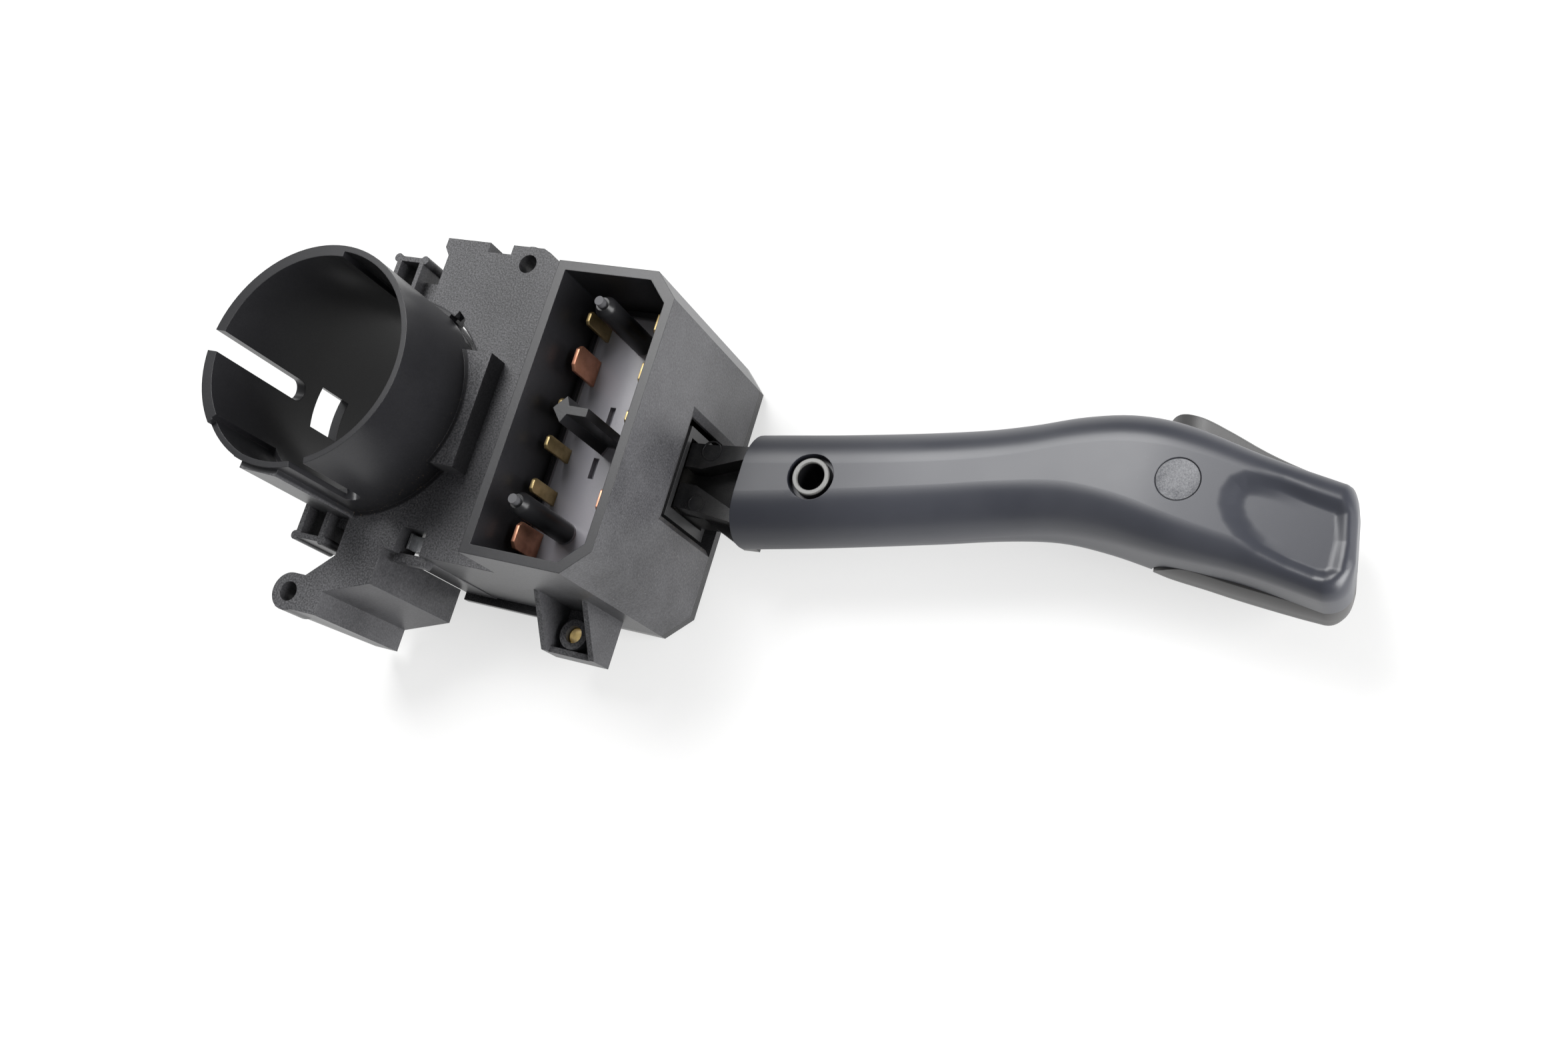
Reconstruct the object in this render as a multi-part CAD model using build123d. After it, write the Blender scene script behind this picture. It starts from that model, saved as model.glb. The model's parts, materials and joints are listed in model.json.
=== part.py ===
from build123d import *
import os
from math import cos, radians, sin

os.makedirs("parts", exist_ok=True)

# The part is a steering column stalk switch. All lengths are in millimetres.
# Z is the steering column axis with the driver above, X runs out along the lever,
# and the origin is the collar axis in the grained top face of the deck.

# Fits
FACE_GAP = 0.3
RUN_CLEARANCE = 0.05
SEAT_GAP = 0.15

# Collar that slides over the column tube
COLLAR_R = 23.0
COLLAR_WALL = 2.3
RIM_THIN_WALL = 1.2
RIM_THIN_DEPTH = 18.0
COLLAR_TOP = 25.0
SLOT_WIDTH = 4.4
SLOT_END_Z = 0.8
KEY_SLOT_WIDTH = 3.2
KEY_SLOT_END_Z = 7.5
KEY_SLOT_ANGLE = -69.0
WINDOW_ARC = 25.0
WINDOW_ANGLE = 183.0
WINDOW_TOP_Z = -5.6
WINDOW_HEIGHT = 9.0
KEY_RIB_ANGLE = -92.0
KEY_RIB_WIDTH = 9.0
KEY_RIB_HEIGHT = 0.9
STEP_RIM_DROP = 1.1
BORE_R = COLLAR_R - COLLAR_WALL

# Moulded housing
BODY_DEPTH = 30.0
WALL = 1.9
DECK = 2.5
DECK_SKIRT = 7.0
CASE_LEFT = COLLAR_R - 0.8
CASE_RIGHT = 67.0
CASE_BOTTOM = -28.6
CASE_TOP = 30.6
CASE_CHAMFER = 5.0
SOCKET_LEFT = 40.1
SOCKET_RIM = 12.9
SHELF_Z = -6.2
SHELF = 1.8
SHELF_INSET = 1.5
BLOCK_TOP = 4.9
BLOCK_RIGHT = COLLAR_R + 3.3
BLOCK_HALF = 12.0
BLOCK_Y = 0.9
DECK_TOP_Y = 38.35
DECK_LEFT = 3.0
DECK_TAB = 10.0
DECK_NOTCH = 5.7
DECK_NOTCH_DEPTH = 2.1
DECK_NOSE = ((26.2, DECK_TOP_Y), (28.0, 37.55), (34.0, 34.0))
DECK_HOLE = ((11.4, 22.6), (13.4, 21.0), (13.5, 19.1), (10.1, 20.5))
DECK_RELIEF = 0.7
EAR_TOP = (23.5, 34.6)
EAR_FOOT = (-5.0, -41.1)
EAR_HOLE_R = 2.0
EAR_R = 3.9
FOOT_DEPTH = 29.0
FOOT_WALL = 2.2
FOOT_WEB = 1.3
FOOT_X = 13.3
FOOT_KNEE_Y = -36.0
FOOT_TURN_Y = -39.7
FOOT_END_Y = -44.5
CLIP_WINDOW_X = 16.2
CLIP_WINDOW_Y = -23.5

# Lever window in the right wall
LEVER_Y = 0.6
WINDOW_HALF = 10.2
LEVER_WINDOW_TOP = -8.4
WINDOW_BEVEL = 2.6

# Hollow clip frames either side of the collar
CLIP_X = -5.1
CLIP_POCKET_X = 4.6
CLIP_POCKET_Y = 5.6
CLIP_WALL = 1.1
CLIP_DEPTH = 12.0
CLIP_LUG_R = 0.95
CLIP_REACH_HIGH = COLLAR_R + 3.4
CLIP_REACH_LOW = COLLAR_R + 0.4

# Screw lug under the case
LUG_LEFT = 44.0
LUG_WIDTH = 12.2
LUG_REACH = 9.7
LUG_FLOOR_Z = -24.0
LUG_FLOOR = 2.0
LUG_WALL = 1.2
LUG_INNER_TOP = -8.0
LUG_OUTER_TOP = -17.8
LUG_FRONT_TOP = -18.6
BOSS_R = 3.05
BOSS_BORE_R = 1.75
BOSS_HEIGHT = 3.6
INSERT_R = 2.1
INSERT_BORE_R = 1.55
INSERT_LENGTH = 4.1
INSERT_SINK = 1.4

# Back cover
COVER = 2.0
COVER_LIP = 1.6
COVER_FLANGE = 1.2
COVER_SCREW_R = 1.4
COVER_SCREW_HEAD_R = 2.6
COVER_SCREW_HEAD = 1.2
COVER_SCREW_LENGTH = 8.0
COVER_POST_R = 3.0
COVER_POST_TOP = -16.0
COVER_POST_INSET = 4.6

# Terminal carrier, pins and blades
CARRIER_PLATE = 2.0
GUIDE_PIN_R = 2.2
GUIDE_PIN_TOP = 16.0
GUIDE_PIN_NOSE = 3.0
GUIDE_PINS = ((53.6, 22.1), (49.7, -17.6))
CODING_X = 53.4
CODING_Y = 1.3
CODING_TOP = 13.2
CODING_LENGTH = 7.4
CODING_WEB = 1.7
CODING_HEAD = 5.2
BLADE_THICK = 0.8
BLADE_TOP = 4.4
BLADE_TAIL = 1.6
BLADE_NARROW = 2.8
BLADE_WIDE = 5.3
LEFT_ROW_X = 44.7
RIGHT_ROW_X = 59.8
LEFT_ROW = ((23.2, BLADE_NARROW), (14.9, BLADE_WIDE), (5.0, BLADE_NARROW),
            (-2.6, BLADE_NARROW), (-11.4, BLADE_NARROW), (-21.3, BLADE_WIDE))
RIGHT_ROW = ((24.0, BLADE_WIDE), (13.9, BLADE_WIDE), (4.8, BLADE_NARROW), (-11.8, BLADE_WIDE))

# Turn signal carrier and its steel pivot
TURN_X = 48.0
TURN_PIN_R = 2.0
TURN_HUB_R = 4.3
TURN_ANGLE = 9.0
PIVOT_WEB = 2.4
PIVOT_SEAT = 1.2
CHEEK = 2.0
CHEEK_END_X = CASE_RIGHT - WALL
YOKE_TOP_Z = -10.9
YOKE_BRIDGE = 1.4
YOKE_LIFT = 1.6
YOKE_FLOOR = 1.4
TAIL_END_X = CASE_LEFT + 7.8
TAIL_HALF = 4.6
TAIL_TOP_Z = -14.0
TAIL_HEIGHT = 9.0
DRIVE_PIN_X = TURN_X + 10.0
DRIVE_PIN_R = 1.0

# Flash hinge of the lever in the carrier
FLASH_OFFSET = 9.0
FLASH_PIN_R = 1.9
FLASH_ANGLE = 5.0
CORE_HALF = 6.9
CORE_HEIGHT = 8.0
CORE_LIFT = 1.0
CORE_SWING = 1.5
HUB_GAP = 0.7
NECK_FLARE_X = 70.0
NECK_HALF = 10.2
NECK_RIB_START_X = 64.8
NECK_RIB_GAP = 1.1
NIB_R = 1.0
NIB_SHORT = 0.7
NIB_PLAY = 0.25

# Detents, springs and self-cancelling pawl
PLUNGER_R = 2.0
PLUNGER_LENGTH = 8.0
PLUNGER_REACH = 1.8
PLUNGER_BORE = 11.5
SPRING_WIRE = 0.5
SPRING_SIDES = 10
CAM_RIDGE = 0.25
CAM_HALF = 8.5
PLUNGER_TIP = 0.17
FLASH_PLUNGER_R = 1.5
FLASH_PLUNGER_OFFSET = 5.0
FLASH_PLUNGER_LENGTH = 4.0
FLASH_ROOF = 1.6
PAWL_HALF = 4.0
PAWL_THICK = 2.6
PAWL_TOP_Z = -4.0
PAWL_STICK = 0.7
PAWL_STOP = 1.5
PAWL_SPRING = 3.2

# Contact sliders
SLIDER_LENGTH = 5.2
SLIDER_HALF = 9.5
SLIDER_HEIGHT = 2.2
CONTACT_THICK = 0.3
DIMMER_LENGTH = 9.0

# Lever: a stem that bends into a paddle
STEM_X = 79.4
STEM_Z = -16.5
STEM_DEPTH = 17.5
PADDLE_FRONT_Z = -5.0
PADDLE_BACK_Z = -27.5
LEVER_END_X = 189.4
PARTING_Z = -15.6
PARTING_X = 155.4
PARTING_R = 7.6
BACK_STEP = 0.5
BACK_EDGE = 2.6
PADDLE_FULL_X = 185.0
END_ROUND = 4.2
END_EDGE = 0.55
LEVER_STATIONS = 15
BACK_STATIONS = 7
SCREW_X = 93.6
SCREW_Y = 2.9
RECESS_R = 4.7
RECESS_DEPTH = 2.2
BUSH_R = 3.7
BUSH_BORE_R = 2.7
BUSH_LENGTH = 11.0
DISC_X = 159.3
DISC_Y = 12.3
DISC_R = 4.6
DISC_THICK = 1.4
DISH_DEPTH = 1.3
DISH_EDGE = ((171.3, 15.9), (166.2, 12.5), (166.3, 8.0), (171.5, 2.4), (184.6, -1.4),
             (187.6, 0.6), (186.6, 13.3))
DISH_CORNER = 1.5
STEM_BAR_END_X = 112.0
STEM_BAR_WIDTH = 11.0
STEM_BAR_DEPTH = 8.0
STEM_TILT = 10.3

# Edges of the lever as x against y in plan, and x against z from the side
LEVER_LOW = ((STEM_X, -10.7), (97.0, -7.2), (117.0, -2.8), (129.0, 0.1), (139.0, 1.8),
             (148.0, 1.6), (158.0, 0.3), (172.0, -0.9), (PADDLE_FULL_X, -3.2))
LEVER_HIGH = ((STEM_X, 11.4), (97.0, 14.25), (121.0, 18.7), (131.0, 21.1), (140.0, 23.55),
              (149.0, 24.7), (158.0, 23.8), (172.0, 19.8), (PADDLE_FULL_X, 16.9))
LEVER_BACK = ((STEM_X, STEM_Z - STEM_DEPTH / 2), (130.0, STEM_Z - STEM_DEPTH / 2),
              (156.0, PADDLE_BACK_Z + 0.6), (PADDLE_FULL_X, PADDLE_BACK_Z))
LEVER_FRONT = ((STEM_X, STEM_Z + STEM_DEPTH / 2), (125.0, STEM_Z + STEM_DEPTH / 2),
               (152.0, PADDLE_FRONT_Z - 0.3), (162.0, PADDLE_FRONT_Z),
               (PADDLE_FULL_X, PADDLE_FRONT_Z))
LEVER_EDGE = ((STEM_X, 8.0), (120.0, 7.8), (150.0, 6.6), (168.0, 4.4), (PADDLE_FULL_X, 3.4))
HUMP_HIGH = ((PARTING_X - 1.0, 27.4), (159.0, 28.4), (164.0, 27.1), (171.0, 24.7),
             (178.0, 22.5), (PADDLE_FULL_X, 20.6))

# Spring clip seen through the small window of the deck
CLIP_STEEL = 0.5
CLIP_STEEL_Z = -4.5

# Values that follow from the sizes above
FLOOR_TOP = SHELF_Z + CARRIER_PLATE
CASE_INNER_TOP_Z = SHELF_Z - SHELF
COVER_TOP_Z = -BODY_DEPTH
CASE_MID_Y = (CASE_TOP + CASE_BOTTOM) / 2
CASE_SPAN_Y = CASE_TOP - CASE_BOTTOM
LUG_RIGHT = LUG_LEFT + LUG_WIDTH
LUG_OUTER_Y = CASE_BOTTOM - LUG_REACH
BOSS_X = LUG_LEFT + LUG_WIDTH * 0.46
BOSS_Y = CASE_BOTTOM - LUG_REACH * 0.55
CHEEK_INNER = CORE_HALF + FACE_GAP
CHEEK_OUTER = CHEEK_INNER + CHEEK
DIMMER_HALF = CHEEK_INNER - FACE_GAP
FLASH_X = TURN_X + FLASH_OFFSET
FLASH_PLUNGER_X = FLASH_X + FLASH_PLUNGER_OFFSET
CORE_TAIL_X = TURN_X + TURN_HUB_R + HUB_GAP
TAIL_Z = TAIL_TOP_Z - TAIL_HEIGHT / 2
PLUNGER_NOSE_X = TAIL_END_X - PLUNGER_REACH
CAM_R = TURN_X - PLUNGER_NOSE_X + FACE_GAP + CAM_RIDGE
YOKE_FLOOR_Z = YOKE_LIFT - BODY_DEPTH
YOKE_FLOOR_TOP_Z = YOKE_FLOOR_Z + YOKE_FLOOR
CORE_BOTTOM_Z = YOKE_FLOOR_TOP_Z + CORE_LIFT
CORE_TOP_Z = CORE_BOTTOM_Z + CORE_HEIGHT
FLASH_Z = CORE_BOTTOM_Z + CORE_HEIGHT / 2
FLASH_BORE = CORE_HEIGHT - FLASH_ROOF
SLIDER_X = DRIVE_PIN_X - SLIDER_LENGTH / 2
SLIDER_BOTTOM_Z = YOKE_TOP_Z + FACE_GAP
DIMMER_TOP_Z = YOKE_TOP_Z - YOKE_BRIDGE - FACE_GAP - CONTACT_THICK
DIMMER_HEIGHT = DIMMER_TOP_Z - CORE_TOP_Z - CORE_SWING
NIB_TOP_Z = DIMMER_TOP_Z - NIB_SHORT
NECK_RIB_TOP_Z = YOKE_TOP_Z - YOKE_BRIDGE - NECK_RIB_GAP
PAWL_NOSE_X = BORE_R + PAWL_STICK
PAWL_STOP_X = SOCKET_LEFT - WALL - PAWL_STOP
PAWL_END_X = PAWL_STOP_X - PAWL_SPRING
SPRING_HOLE_R = PLUNGER_R + RUN_CLEARANCE


def slab(x0, x1, y0, y1, z0, z1):
    """Return the rectangular solid between the given limits."""
    body = Box(x1 - x0, y1 - y0, z1 - z0)
    return Pos((x0 + x1) / 2, (y0 + y1) / 2, (z0 + z1) / 2) * body


def rod(x, y, z0, z1, radius):
    """Return a cylinder along Z from z0 to z1."""
    return Pos(x, y, (z0 + z1) / 2) * Cylinder(radius, z1 - z0)


def rod_x(x0, x1, y, z, radius):
    """Return a cylinder along X from x0 to x1."""
    return Pos((x0 + x1) / 2, y, z) * Rot(0, 90, 0) * Cylinder(radius, x1 - x0)


def rod_y(y0, y1, x, z, radius):
    """Return a cylinder along Y from y0 to y1."""
    return Pos(x, (y0 + y1) / 2, z) * Rot(90, 0, 0) * Cylinder(radius, y1 - y0)


def prism(points, z0, z1):
    """Return the polygon through points, raised from z0 to z1."""
    face = make_face(Polyline(*points, close=True))
    return Pos(0, 0, z0) * extrude(face, z1 - z0)


def case_outline(inset, left):
    """Return the corner points of the case, moved in by inset, from left to the lever side."""
    right = CASE_RIGHT - inset
    low = CASE_BOTTOM + inset
    high = CASE_TOP - inset
    cut = CASE_CHAMFER - inset * 0.4
    return [(left, low), (right - cut, low), (right, low + cut),
            (right, high - cut), (right - cut, high), (left, high)]


def deck_outline():
    """Return the edge of the grained deck, left of the socket."""
    tab = DECK_LEFT + DECK_TAB
    notch_y = DECK_TOP_Y - DECK_NOTCH_DEPTH
    return [
        (DECK_LEFT + 0.7, 22.0), (DECK_LEFT + 0.7, DECK_TOP_Y - 3.9),
        (DECK_LEFT - 0.7, notch_y), (DECK_LEFT - 0.7, DECK_TOP_Y), (tab, DECK_TOP_Y),
        (tab, notch_y), (tab + DECK_NOTCH, notch_y), (tab + DECK_NOTCH, DECK_TOP_Y), *DECK_NOSE,
        (SOCKET_LEFT + WALL, CASE_TOP), (SOCKET_LEFT + WALL, CASE_BOTTOM),
        (CASE_LEFT, CASE_BOTTOM), (CASE_LEFT, CLIP_WINDOW_Y), (CLIP_WINDOW_X, CLIP_WINDOW_Y),
        (CLIP_WINDOW_X - 0.5, CASE_BOTTOM), (FOOT_X, CASE_BOTTOM), (FOOT_X, FOOT_KNEE_Y),
        (DECK_LEFT, FOOT_TURN_Y), (DECK_LEFT, FOOT_END_Y), (EAR_FOOT[0], FOOT_END_Y),
        (EAR_FOOT[0], EAR_FOOT[1] + EAR_R), (EAR_FOOT[0] + 2.7, EAR_FOOT[1] + EAR_R),
        (DECK_LEFT, -32.0), (DECK_LEFT, -20.0),
    ]


def deck():
    """Return the deck with a shallow skirt below its edge and the mounting ear."""
    face = make_face(Polyline(*deck_outline(), close=True))
    inner = offset(face, -WALL, kind=Kind.INTERSECTION)
    plate = Pos(0, 0, -DECK) * extrude(face, DECK)
    skirt = Pos(0, 0, -DECK_SKIRT) * extrude(face - inner, DECK_SKIRT)
    ear = rod(*EAR_FOOT, -DECK_SKIRT, 0, EAR_R)
    pad = rod(*EAR_TOP, -DECK_SKIRT, 0, EAR_R)
    return plate + skirt + ear + pad


def deck_hole():
    """Return the cutter for the four-sided hole beside the collar and the relief under it."""
    hole = prism(DECK_HOLE, -DECK - 1, 1)
    ring = rod(0, 0, -DECK, 2.0, COLLAR_R + DECK_RELIEF) - rod(0, 0, -DECK - 1, 3, COLLAR_R - DECK_RELIEF)
    return hole + (ring & sector(COLLAR_R + 2, 42.0, 24.0, -DECK, 2.0))


def foot():
    """Return the bracket foot: a cranked wall with a tapered end web."""
    outer = [(FOOT_X - FOOT_WALL, CASE_BOTTOM), (FOOT_X, CASE_BOTTOM), (FOOT_X, FOOT_KNEE_Y),
             (DECK_LEFT, FOOT_TURN_Y), (DECK_LEFT, FOOT_END_Y), (DECK_LEFT - FOOT_WALL, FOOT_END_Y),
             (DECK_LEFT - FOOT_WALL, FOOT_TURN_Y + 1.6), (FOOT_X - FOOT_WALL, FOOT_KNEE_Y + 1.5)]
    wall = prism(outer, -FOOT_DEPTH, -DECK / 2)
    web_face = Plane.XZ * make_face(Polyline(
        (EAR_FOOT[0] - 3.0, -DECK / 2), (DECK_LEFT, -DECK / 2), (DECK_LEFT, -FOOT_DEPTH),
        (DECK_LEFT - 5.8, -FOOT_DEPTH), close=True))
    web = Pos(0, FOOT_END_Y + FOOT_WEB, 0) * extrude(web_face, FOOT_WEB)
    return wall + web


def case():
    """Return the deep case with the connector socket standing above the deck."""
    lower = prism(case_outline(0, CASE_LEFT), -BODY_DEPTH, 0)
    socket = prism(case_outline(0, SOCKET_LEFT), -DECK, SOCKET_RIM)
    cavity = prism(case_outline(WALL, CASE_LEFT + WALL), -BODY_DEPTH, CASE_INNER_TOP_Z)
    under_deck = slab(CASE_LEFT + WALL, SOCKET_LEFT - WALL, CASE_BOTTOM + WALL,
                      CASE_TOP - WALL, CASE_INNER_TOP_Z - 1, -DECK)
    well = prism(case_outline(WALL, SOCKET_LEFT + WALL), SHELF_Z, SOCKET_RIM)
    throat = slab(SOCKET_LEFT + WALL + SHELF_INSET, CASE_RIGHT - WALL - SHELF_INSET,
                  CASE_BOTTOM + WALL + SHELF_INSET, CASE_TOP - WALL - SHELF_INSET,
                  CASE_INNER_TOP_Z - 1, SHELF_Z)
    web = slab(TURN_X - PIVOT_WEB, TURN_X + PIVOT_WEB, CASE_BOTTOM, CASE_TOP,
               CASE_INNER_TOP_Z, SHELF_Z)
    return lower + socket - cavity - under_deck - well - (throat - web)


def lever_window():
    """Return the cutter for the lever window with its bevelled edge."""
    hole = slab(CASE_RIGHT - WALL - 1, CASE_RIGHT + 1, LEVER_Y - WINDOW_HALF,
                LEVER_Y + WINDOW_HALF, -BODY_DEPTH, LEVER_WINDOW_TOP)
    half = WINDOW_HALF
    top = LEVER_WINDOW_TOP
    small = Plane.YZ * Pos(LEVER_Y, (top - BODY_DEPTH) / 2) * Rectangle(2 * half, BODY_DEPTH + top)
    wide = Plane.YZ * Pos(LEVER_Y, (top - BODY_DEPTH + WINDOW_BEVEL) / 2) * Rectangle(
        2 * half + WINDOW_BEVEL, BODY_DEPTH + top + WINDOW_BEVEL)
    bevel = loft([Pos(CASE_RIGHT - WALL * 0.6, 0, 0) * small, Pos(CASE_RIGHT + 0.01, 0, 0) * wide])
    return hole + bevel


def collar():
    """Return the collar tube with key rib, before its bore and slots are cut."""
    tube = rod(0, 0, -BODY_DEPTH, COLLAR_TOP, COLLAR_R)
    rib = slab(COLLAR_R - 2.0, COLLAR_R + KEY_RIB_HEIGHT, -KEY_RIB_WIDTH / 2,
               KEY_RIB_WIDTH / 2, -CLIP_DEPTH, COLLAR_TOP - 1.0)
    return tube + Rot(0, 0, KEY_RIB_ANGLE) * rib


def sector(radius, start, arc, z0, z1):
    """Return a pie-shaped solid about Z from the start angle, arc degrees wide."""
    half = arc / 2
    reach = radius / cos(radians(half))
    tip = (reach * cos(radians(half)), reach * sin(radians(half)))
    body = prism([(0, 0), (tip[0], -tip[1]), tip], z0, z1)
    return Rot(0, 0, start + half) * body


def collar_cuts():
    """Return everything removed from the collar: bore, thin rims, slots and window."""
    outer = COLLAR_R + 4
    bore = rod(0, 0, -BODY_DEPTH - 1, COLLAR_TOP + 1, BORE_R)
    thin = rod(0, 0, COLLAR_TOP - RIM_THIN_DEPTH, COLLAR_TOP + 1, COLLAR_R - RIM_THIN_WALL)
    wedges = Part()
    for start in (-135.0, -90.0, -45.0, 0.0, 42.0):
        wedges += sector(outer, start, 46.0, COLLAR_TOP - RIM_THIN_DEPTH, COLLAR_TOP + 1)
    slot = slab(-outer, 0, -SLOT_WIDTH / 2, SLOT_WIDTH / 2, SLOT_END_Z, COLLAR_TOP + 1)
    slot_end = rod_x(-outer, 0, 0, SLOT_END_Z, SLOT_WIDTH / 2)
    key_slot = slab(0, outer, -KEY_SLOT_WIDTH / 2, KEY_SLOT_WIDTH / 2, KEY_SLOT_END_Z, COLLAR_TOP + 1)
    key_end = rod_x(0, outer, 0, KEY_SLOT_END_Z, KEY_SLOT_WIDTH / 2)
    window = sector(outer, WINDOW_ANGLE - WINDOW_ARC / 2, WINDOW_ARC,
                    WINDOW_TOP_Z - WINDOW_HEIGHT, WINDOW_TOP_Z)
    step = sector(outer, -134.0, 27.0, COLLAR_TOP - STEP_RIM_DROP, COLLAR_TOP + 1)
    turned = Rot(0, 0, KEY_SLOT_ANGLE) * (key_slot + key_end)
    return bore + (thin & wedges) + slot + slot_end + turned + window + step


def clip_frame(side, reach):
    """Return one hollow clip frame, reach away from the axis; side is +1 or -1 along Y."""
    far = reach + CLIP_POCKET_Y + CLIP_WALL
    outer_half = CLIP_POCKET_X / 2 + CLIP_WALL
    low, high = sorted((side * (COLLAR_R - 2.5), side * far))
    frame = slab(CLIP_X - outer_half, CLIP_X + outer_half, low, high, -CLIP_DEPTH, 0)
    for end in (-1, 1):
        frame += rod(CLIP_X + end * outer_half, side * (far - 0.4), -CLIP_DEPTH, 0, CLIP_LUG_R)
    low, high = sorted((side * reach, side * (far - CLIP_WALL)))
    pocket = slab(CLIP_X - CLIP_POCKET_X / 2, CLIP_X + CLIP_POCKET_X / 2, low, high,
                  -CLIP_DEPTH - 1, 1)
    arm_low, arm_high = sorted((side * (COLLAR_R - 2.5), side * (reach + 2.5)))
    arm = slab(CLIP_X + outer_half - 0.1, DECK_LEFT + 1.0, arm_low, arm_high, -CLIP_DEPTH, -3.0)
    return frame + arm - pocket


def boss_top():
    """Return the height of the screw boss."""
    return LUG_FLOOR_Z + LUG_FLOOR + BOSS_HEIGHT


def screw_lug():
    """Return the open tray under the case: two triangular walls, a low front and the boss."""
    profile = Plane.YZ * make_face(Polyline(
        (CASE_BOTTOM + 0.5, LUG_FLOOR_Z), (LUG_OUTER_Y, LUG_FLOOR_Z),
        (LUG_OUTER_Y, LUG_OUTER_TOP), (CASE_BOTTOM + 0.5, LUG_INNER_TOP), close=True))
    tray = Pos(LUG_LEFT, 0, 0) * extrude(profile, LUG_WIDTH)
    left = LUG_LEFT + LUG_WALL
    right = LUG_RIGHT - LUG_WALL
    inside = slab(left, right, LUG_OUTER_Y + LUG_WALL, CASE_BOTTOM, LUG_FLOOR_Z + LUG_FLOOR,
                  LUG_INNER_TOP + 1)
    inside += slab(left, right, LUG_OUTER_Y - 1, CASE_BOTTOM, LUG_FRONT_TOP, LUG_INNER_TOP + 1)
    boss = rod(BOSS_X, BOSS_Y, LUG_FLOOR_Z, boss_top(), BOSS_R)
    seat = rod(BOSS_X, BOSS_Y, LUG_FLOOR_Z - 1, boss_top() - INSERT_SINK, INSERT_R)
    return tray - inside + boss - seat - rod(BOSS_X, BOSS_Y, LUG_FLOOR_Z, boss_top() + 1, BOSS_BORE_R)


def inner_guides():
    """Return the posts and rails inside the case that carry the moving parts."""
    rails = Part()
    bottom = PAWL_TOP_Z - PAWL_THICK
    for end in (-1, 1):
        y = LEVER_Y + end * (PAWL_HALF - 0.5)
        rails += slab(CASE_LEFT + 0.5, PAWL_STOP_X + WALL, y - 1.0, y + 1.0, bottom - 2.0, bottom)
    stop = slab(PAWL_STOP_X, SOCKET_LEFT, LEVER_Y - PAWL_HALF, LEVER_Y + PAWL_HALF,
                CASE_INNER_TOP_Z, -DECK / 2)
    posts = Part()
    for x, y in cover_screws():
        posts += rod(x, y, COVER_TOP_Z, COVER_POST_TOP, COVER_POST_R)
    return rails + stop + posts


def cover_screws():
    """Return the centres of the four back cover screws."""
    left = CASE_LEFT + COVER_POST_INSET
    right = CASE_RIGHT - COVER_POST_INSET - 2.0
    low = CASE_BOTTOM + COVER_POST_INSET
    high = CASE_TOP - COVER_POST_INSET
    return [(left, low), (right, low), (left, high), (right, high)]


def pawl_slot():
    """Return the cutter that lets the cancelling pawl reach the collar."""
    return slab(BORE_R - 3, CASE_LEFT + WALL + 0.5, LEVER_Y - PAWL_HALF - RUN_CLEARANCE,
                LEVER_Y + PAWL_HALF + RUN_CLEARANCE, PAWL_TOP_Z - PAWL_THICK,
                PAWL_TOP_Z + RUN_CLEARANCE)


def housing():
    """Return the one-piece moulding: collar, deck, case, socket, foot, lug and clips."""
    block = slab(10.0, BLOCK_RIGHT, BLOCK_Y - BLOCK_HALF, BLOCK_Y + BLOCK_HALF, -DECK, BLOCK_TOP)
    body = deck() + foot() + case() + block + screw_lug() + collar()
    body += clip_frame(1, CLIP_REACH_HIGH) + clip_frame(-1, CLIP_REACH_LOW) + inner_guides()
    body -= collar_cuts() + lever_window() + pawl_slot()
    body -= deck_hole()
    for x, y in (EAR_TOP, EAR_FOOT):
        body -= rod(x, y, -DECK_SKIRT - 1, 1, EAR_HOLE_R)
    for x, y in cover_screws():
        body -= rod(x, y, COVER_TOP_Z - 1, COVER_TOP_Z + COVER_SCREW_LENGTH, COVER_SCREW_R)
    body -= rod(TURN_X, LEVER_Y, YOKE_TOP_Z, CASE_INNER_TOP_Z + PIVOT_SEAT, TURN_PIN_R)
    return body


def back_cover():
    """Return the cover that closes the case behind the switch."""
    plate = prism(case_outline(0, CASE_LEFT - 4.0), COVER_TOP_Z - COVER, COVER_TOP_Z)
    plate += slab(CASE_LEFT - 4.0, LUG_LEFT, CASE_BOTTOM - COVER_FLANGE, CASE_BOTTOM,
                  COVER_TOP_Z - COVER, COVER_TOP_Z)
    inset = WALL + SEAT_GAP
    ring = prism(case_outline(inset, CASE_LEFT + inset), COVER_TOP_Z, COVER_TOP_Z + COVER_LIP)
    hollow = inset + WALL
    ring -= prism(case_outline(hollow, CASE_LEFT + hollow), COVER_TOP_Z, COVER_TOP_Z + COVER_LIP)
    ring -= slab(CASE_RIGHT - 8, CASE_RIGHT, LEVER_Y - WINDOW_HALF - 3, LEVER_Y + WINDOW_HALF + 3,
                 COVER_TOP_Z, COVER_TOP_Z + COVER_LIP)
    body = plate + ring - rod(0, 0, COVER_TOP_Z - COVER - 1, COVER_TOP_Z + 3, COLLAR_R + FACE_GAP)
    for x, y in cover_screws():
        body -= rod(x, y, COVER_TOP_Z - COVER - 1, COVER_TOP_Z + COVER_LIP,
                    COVER_SCREW_R + 0.2)
        body -= rod(x, y, COVER_TOP_Z, COVER_TOP_Z + COVER_LIP, COVER_POST_R + SEAT_GAP)
    body -= rod(TURN_X, LEVER_Y, COVER_TOP_Z - PIVOT_SEAT, COVER_TOP_Z + 1, TURN_PIN_R)
    return body


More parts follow.
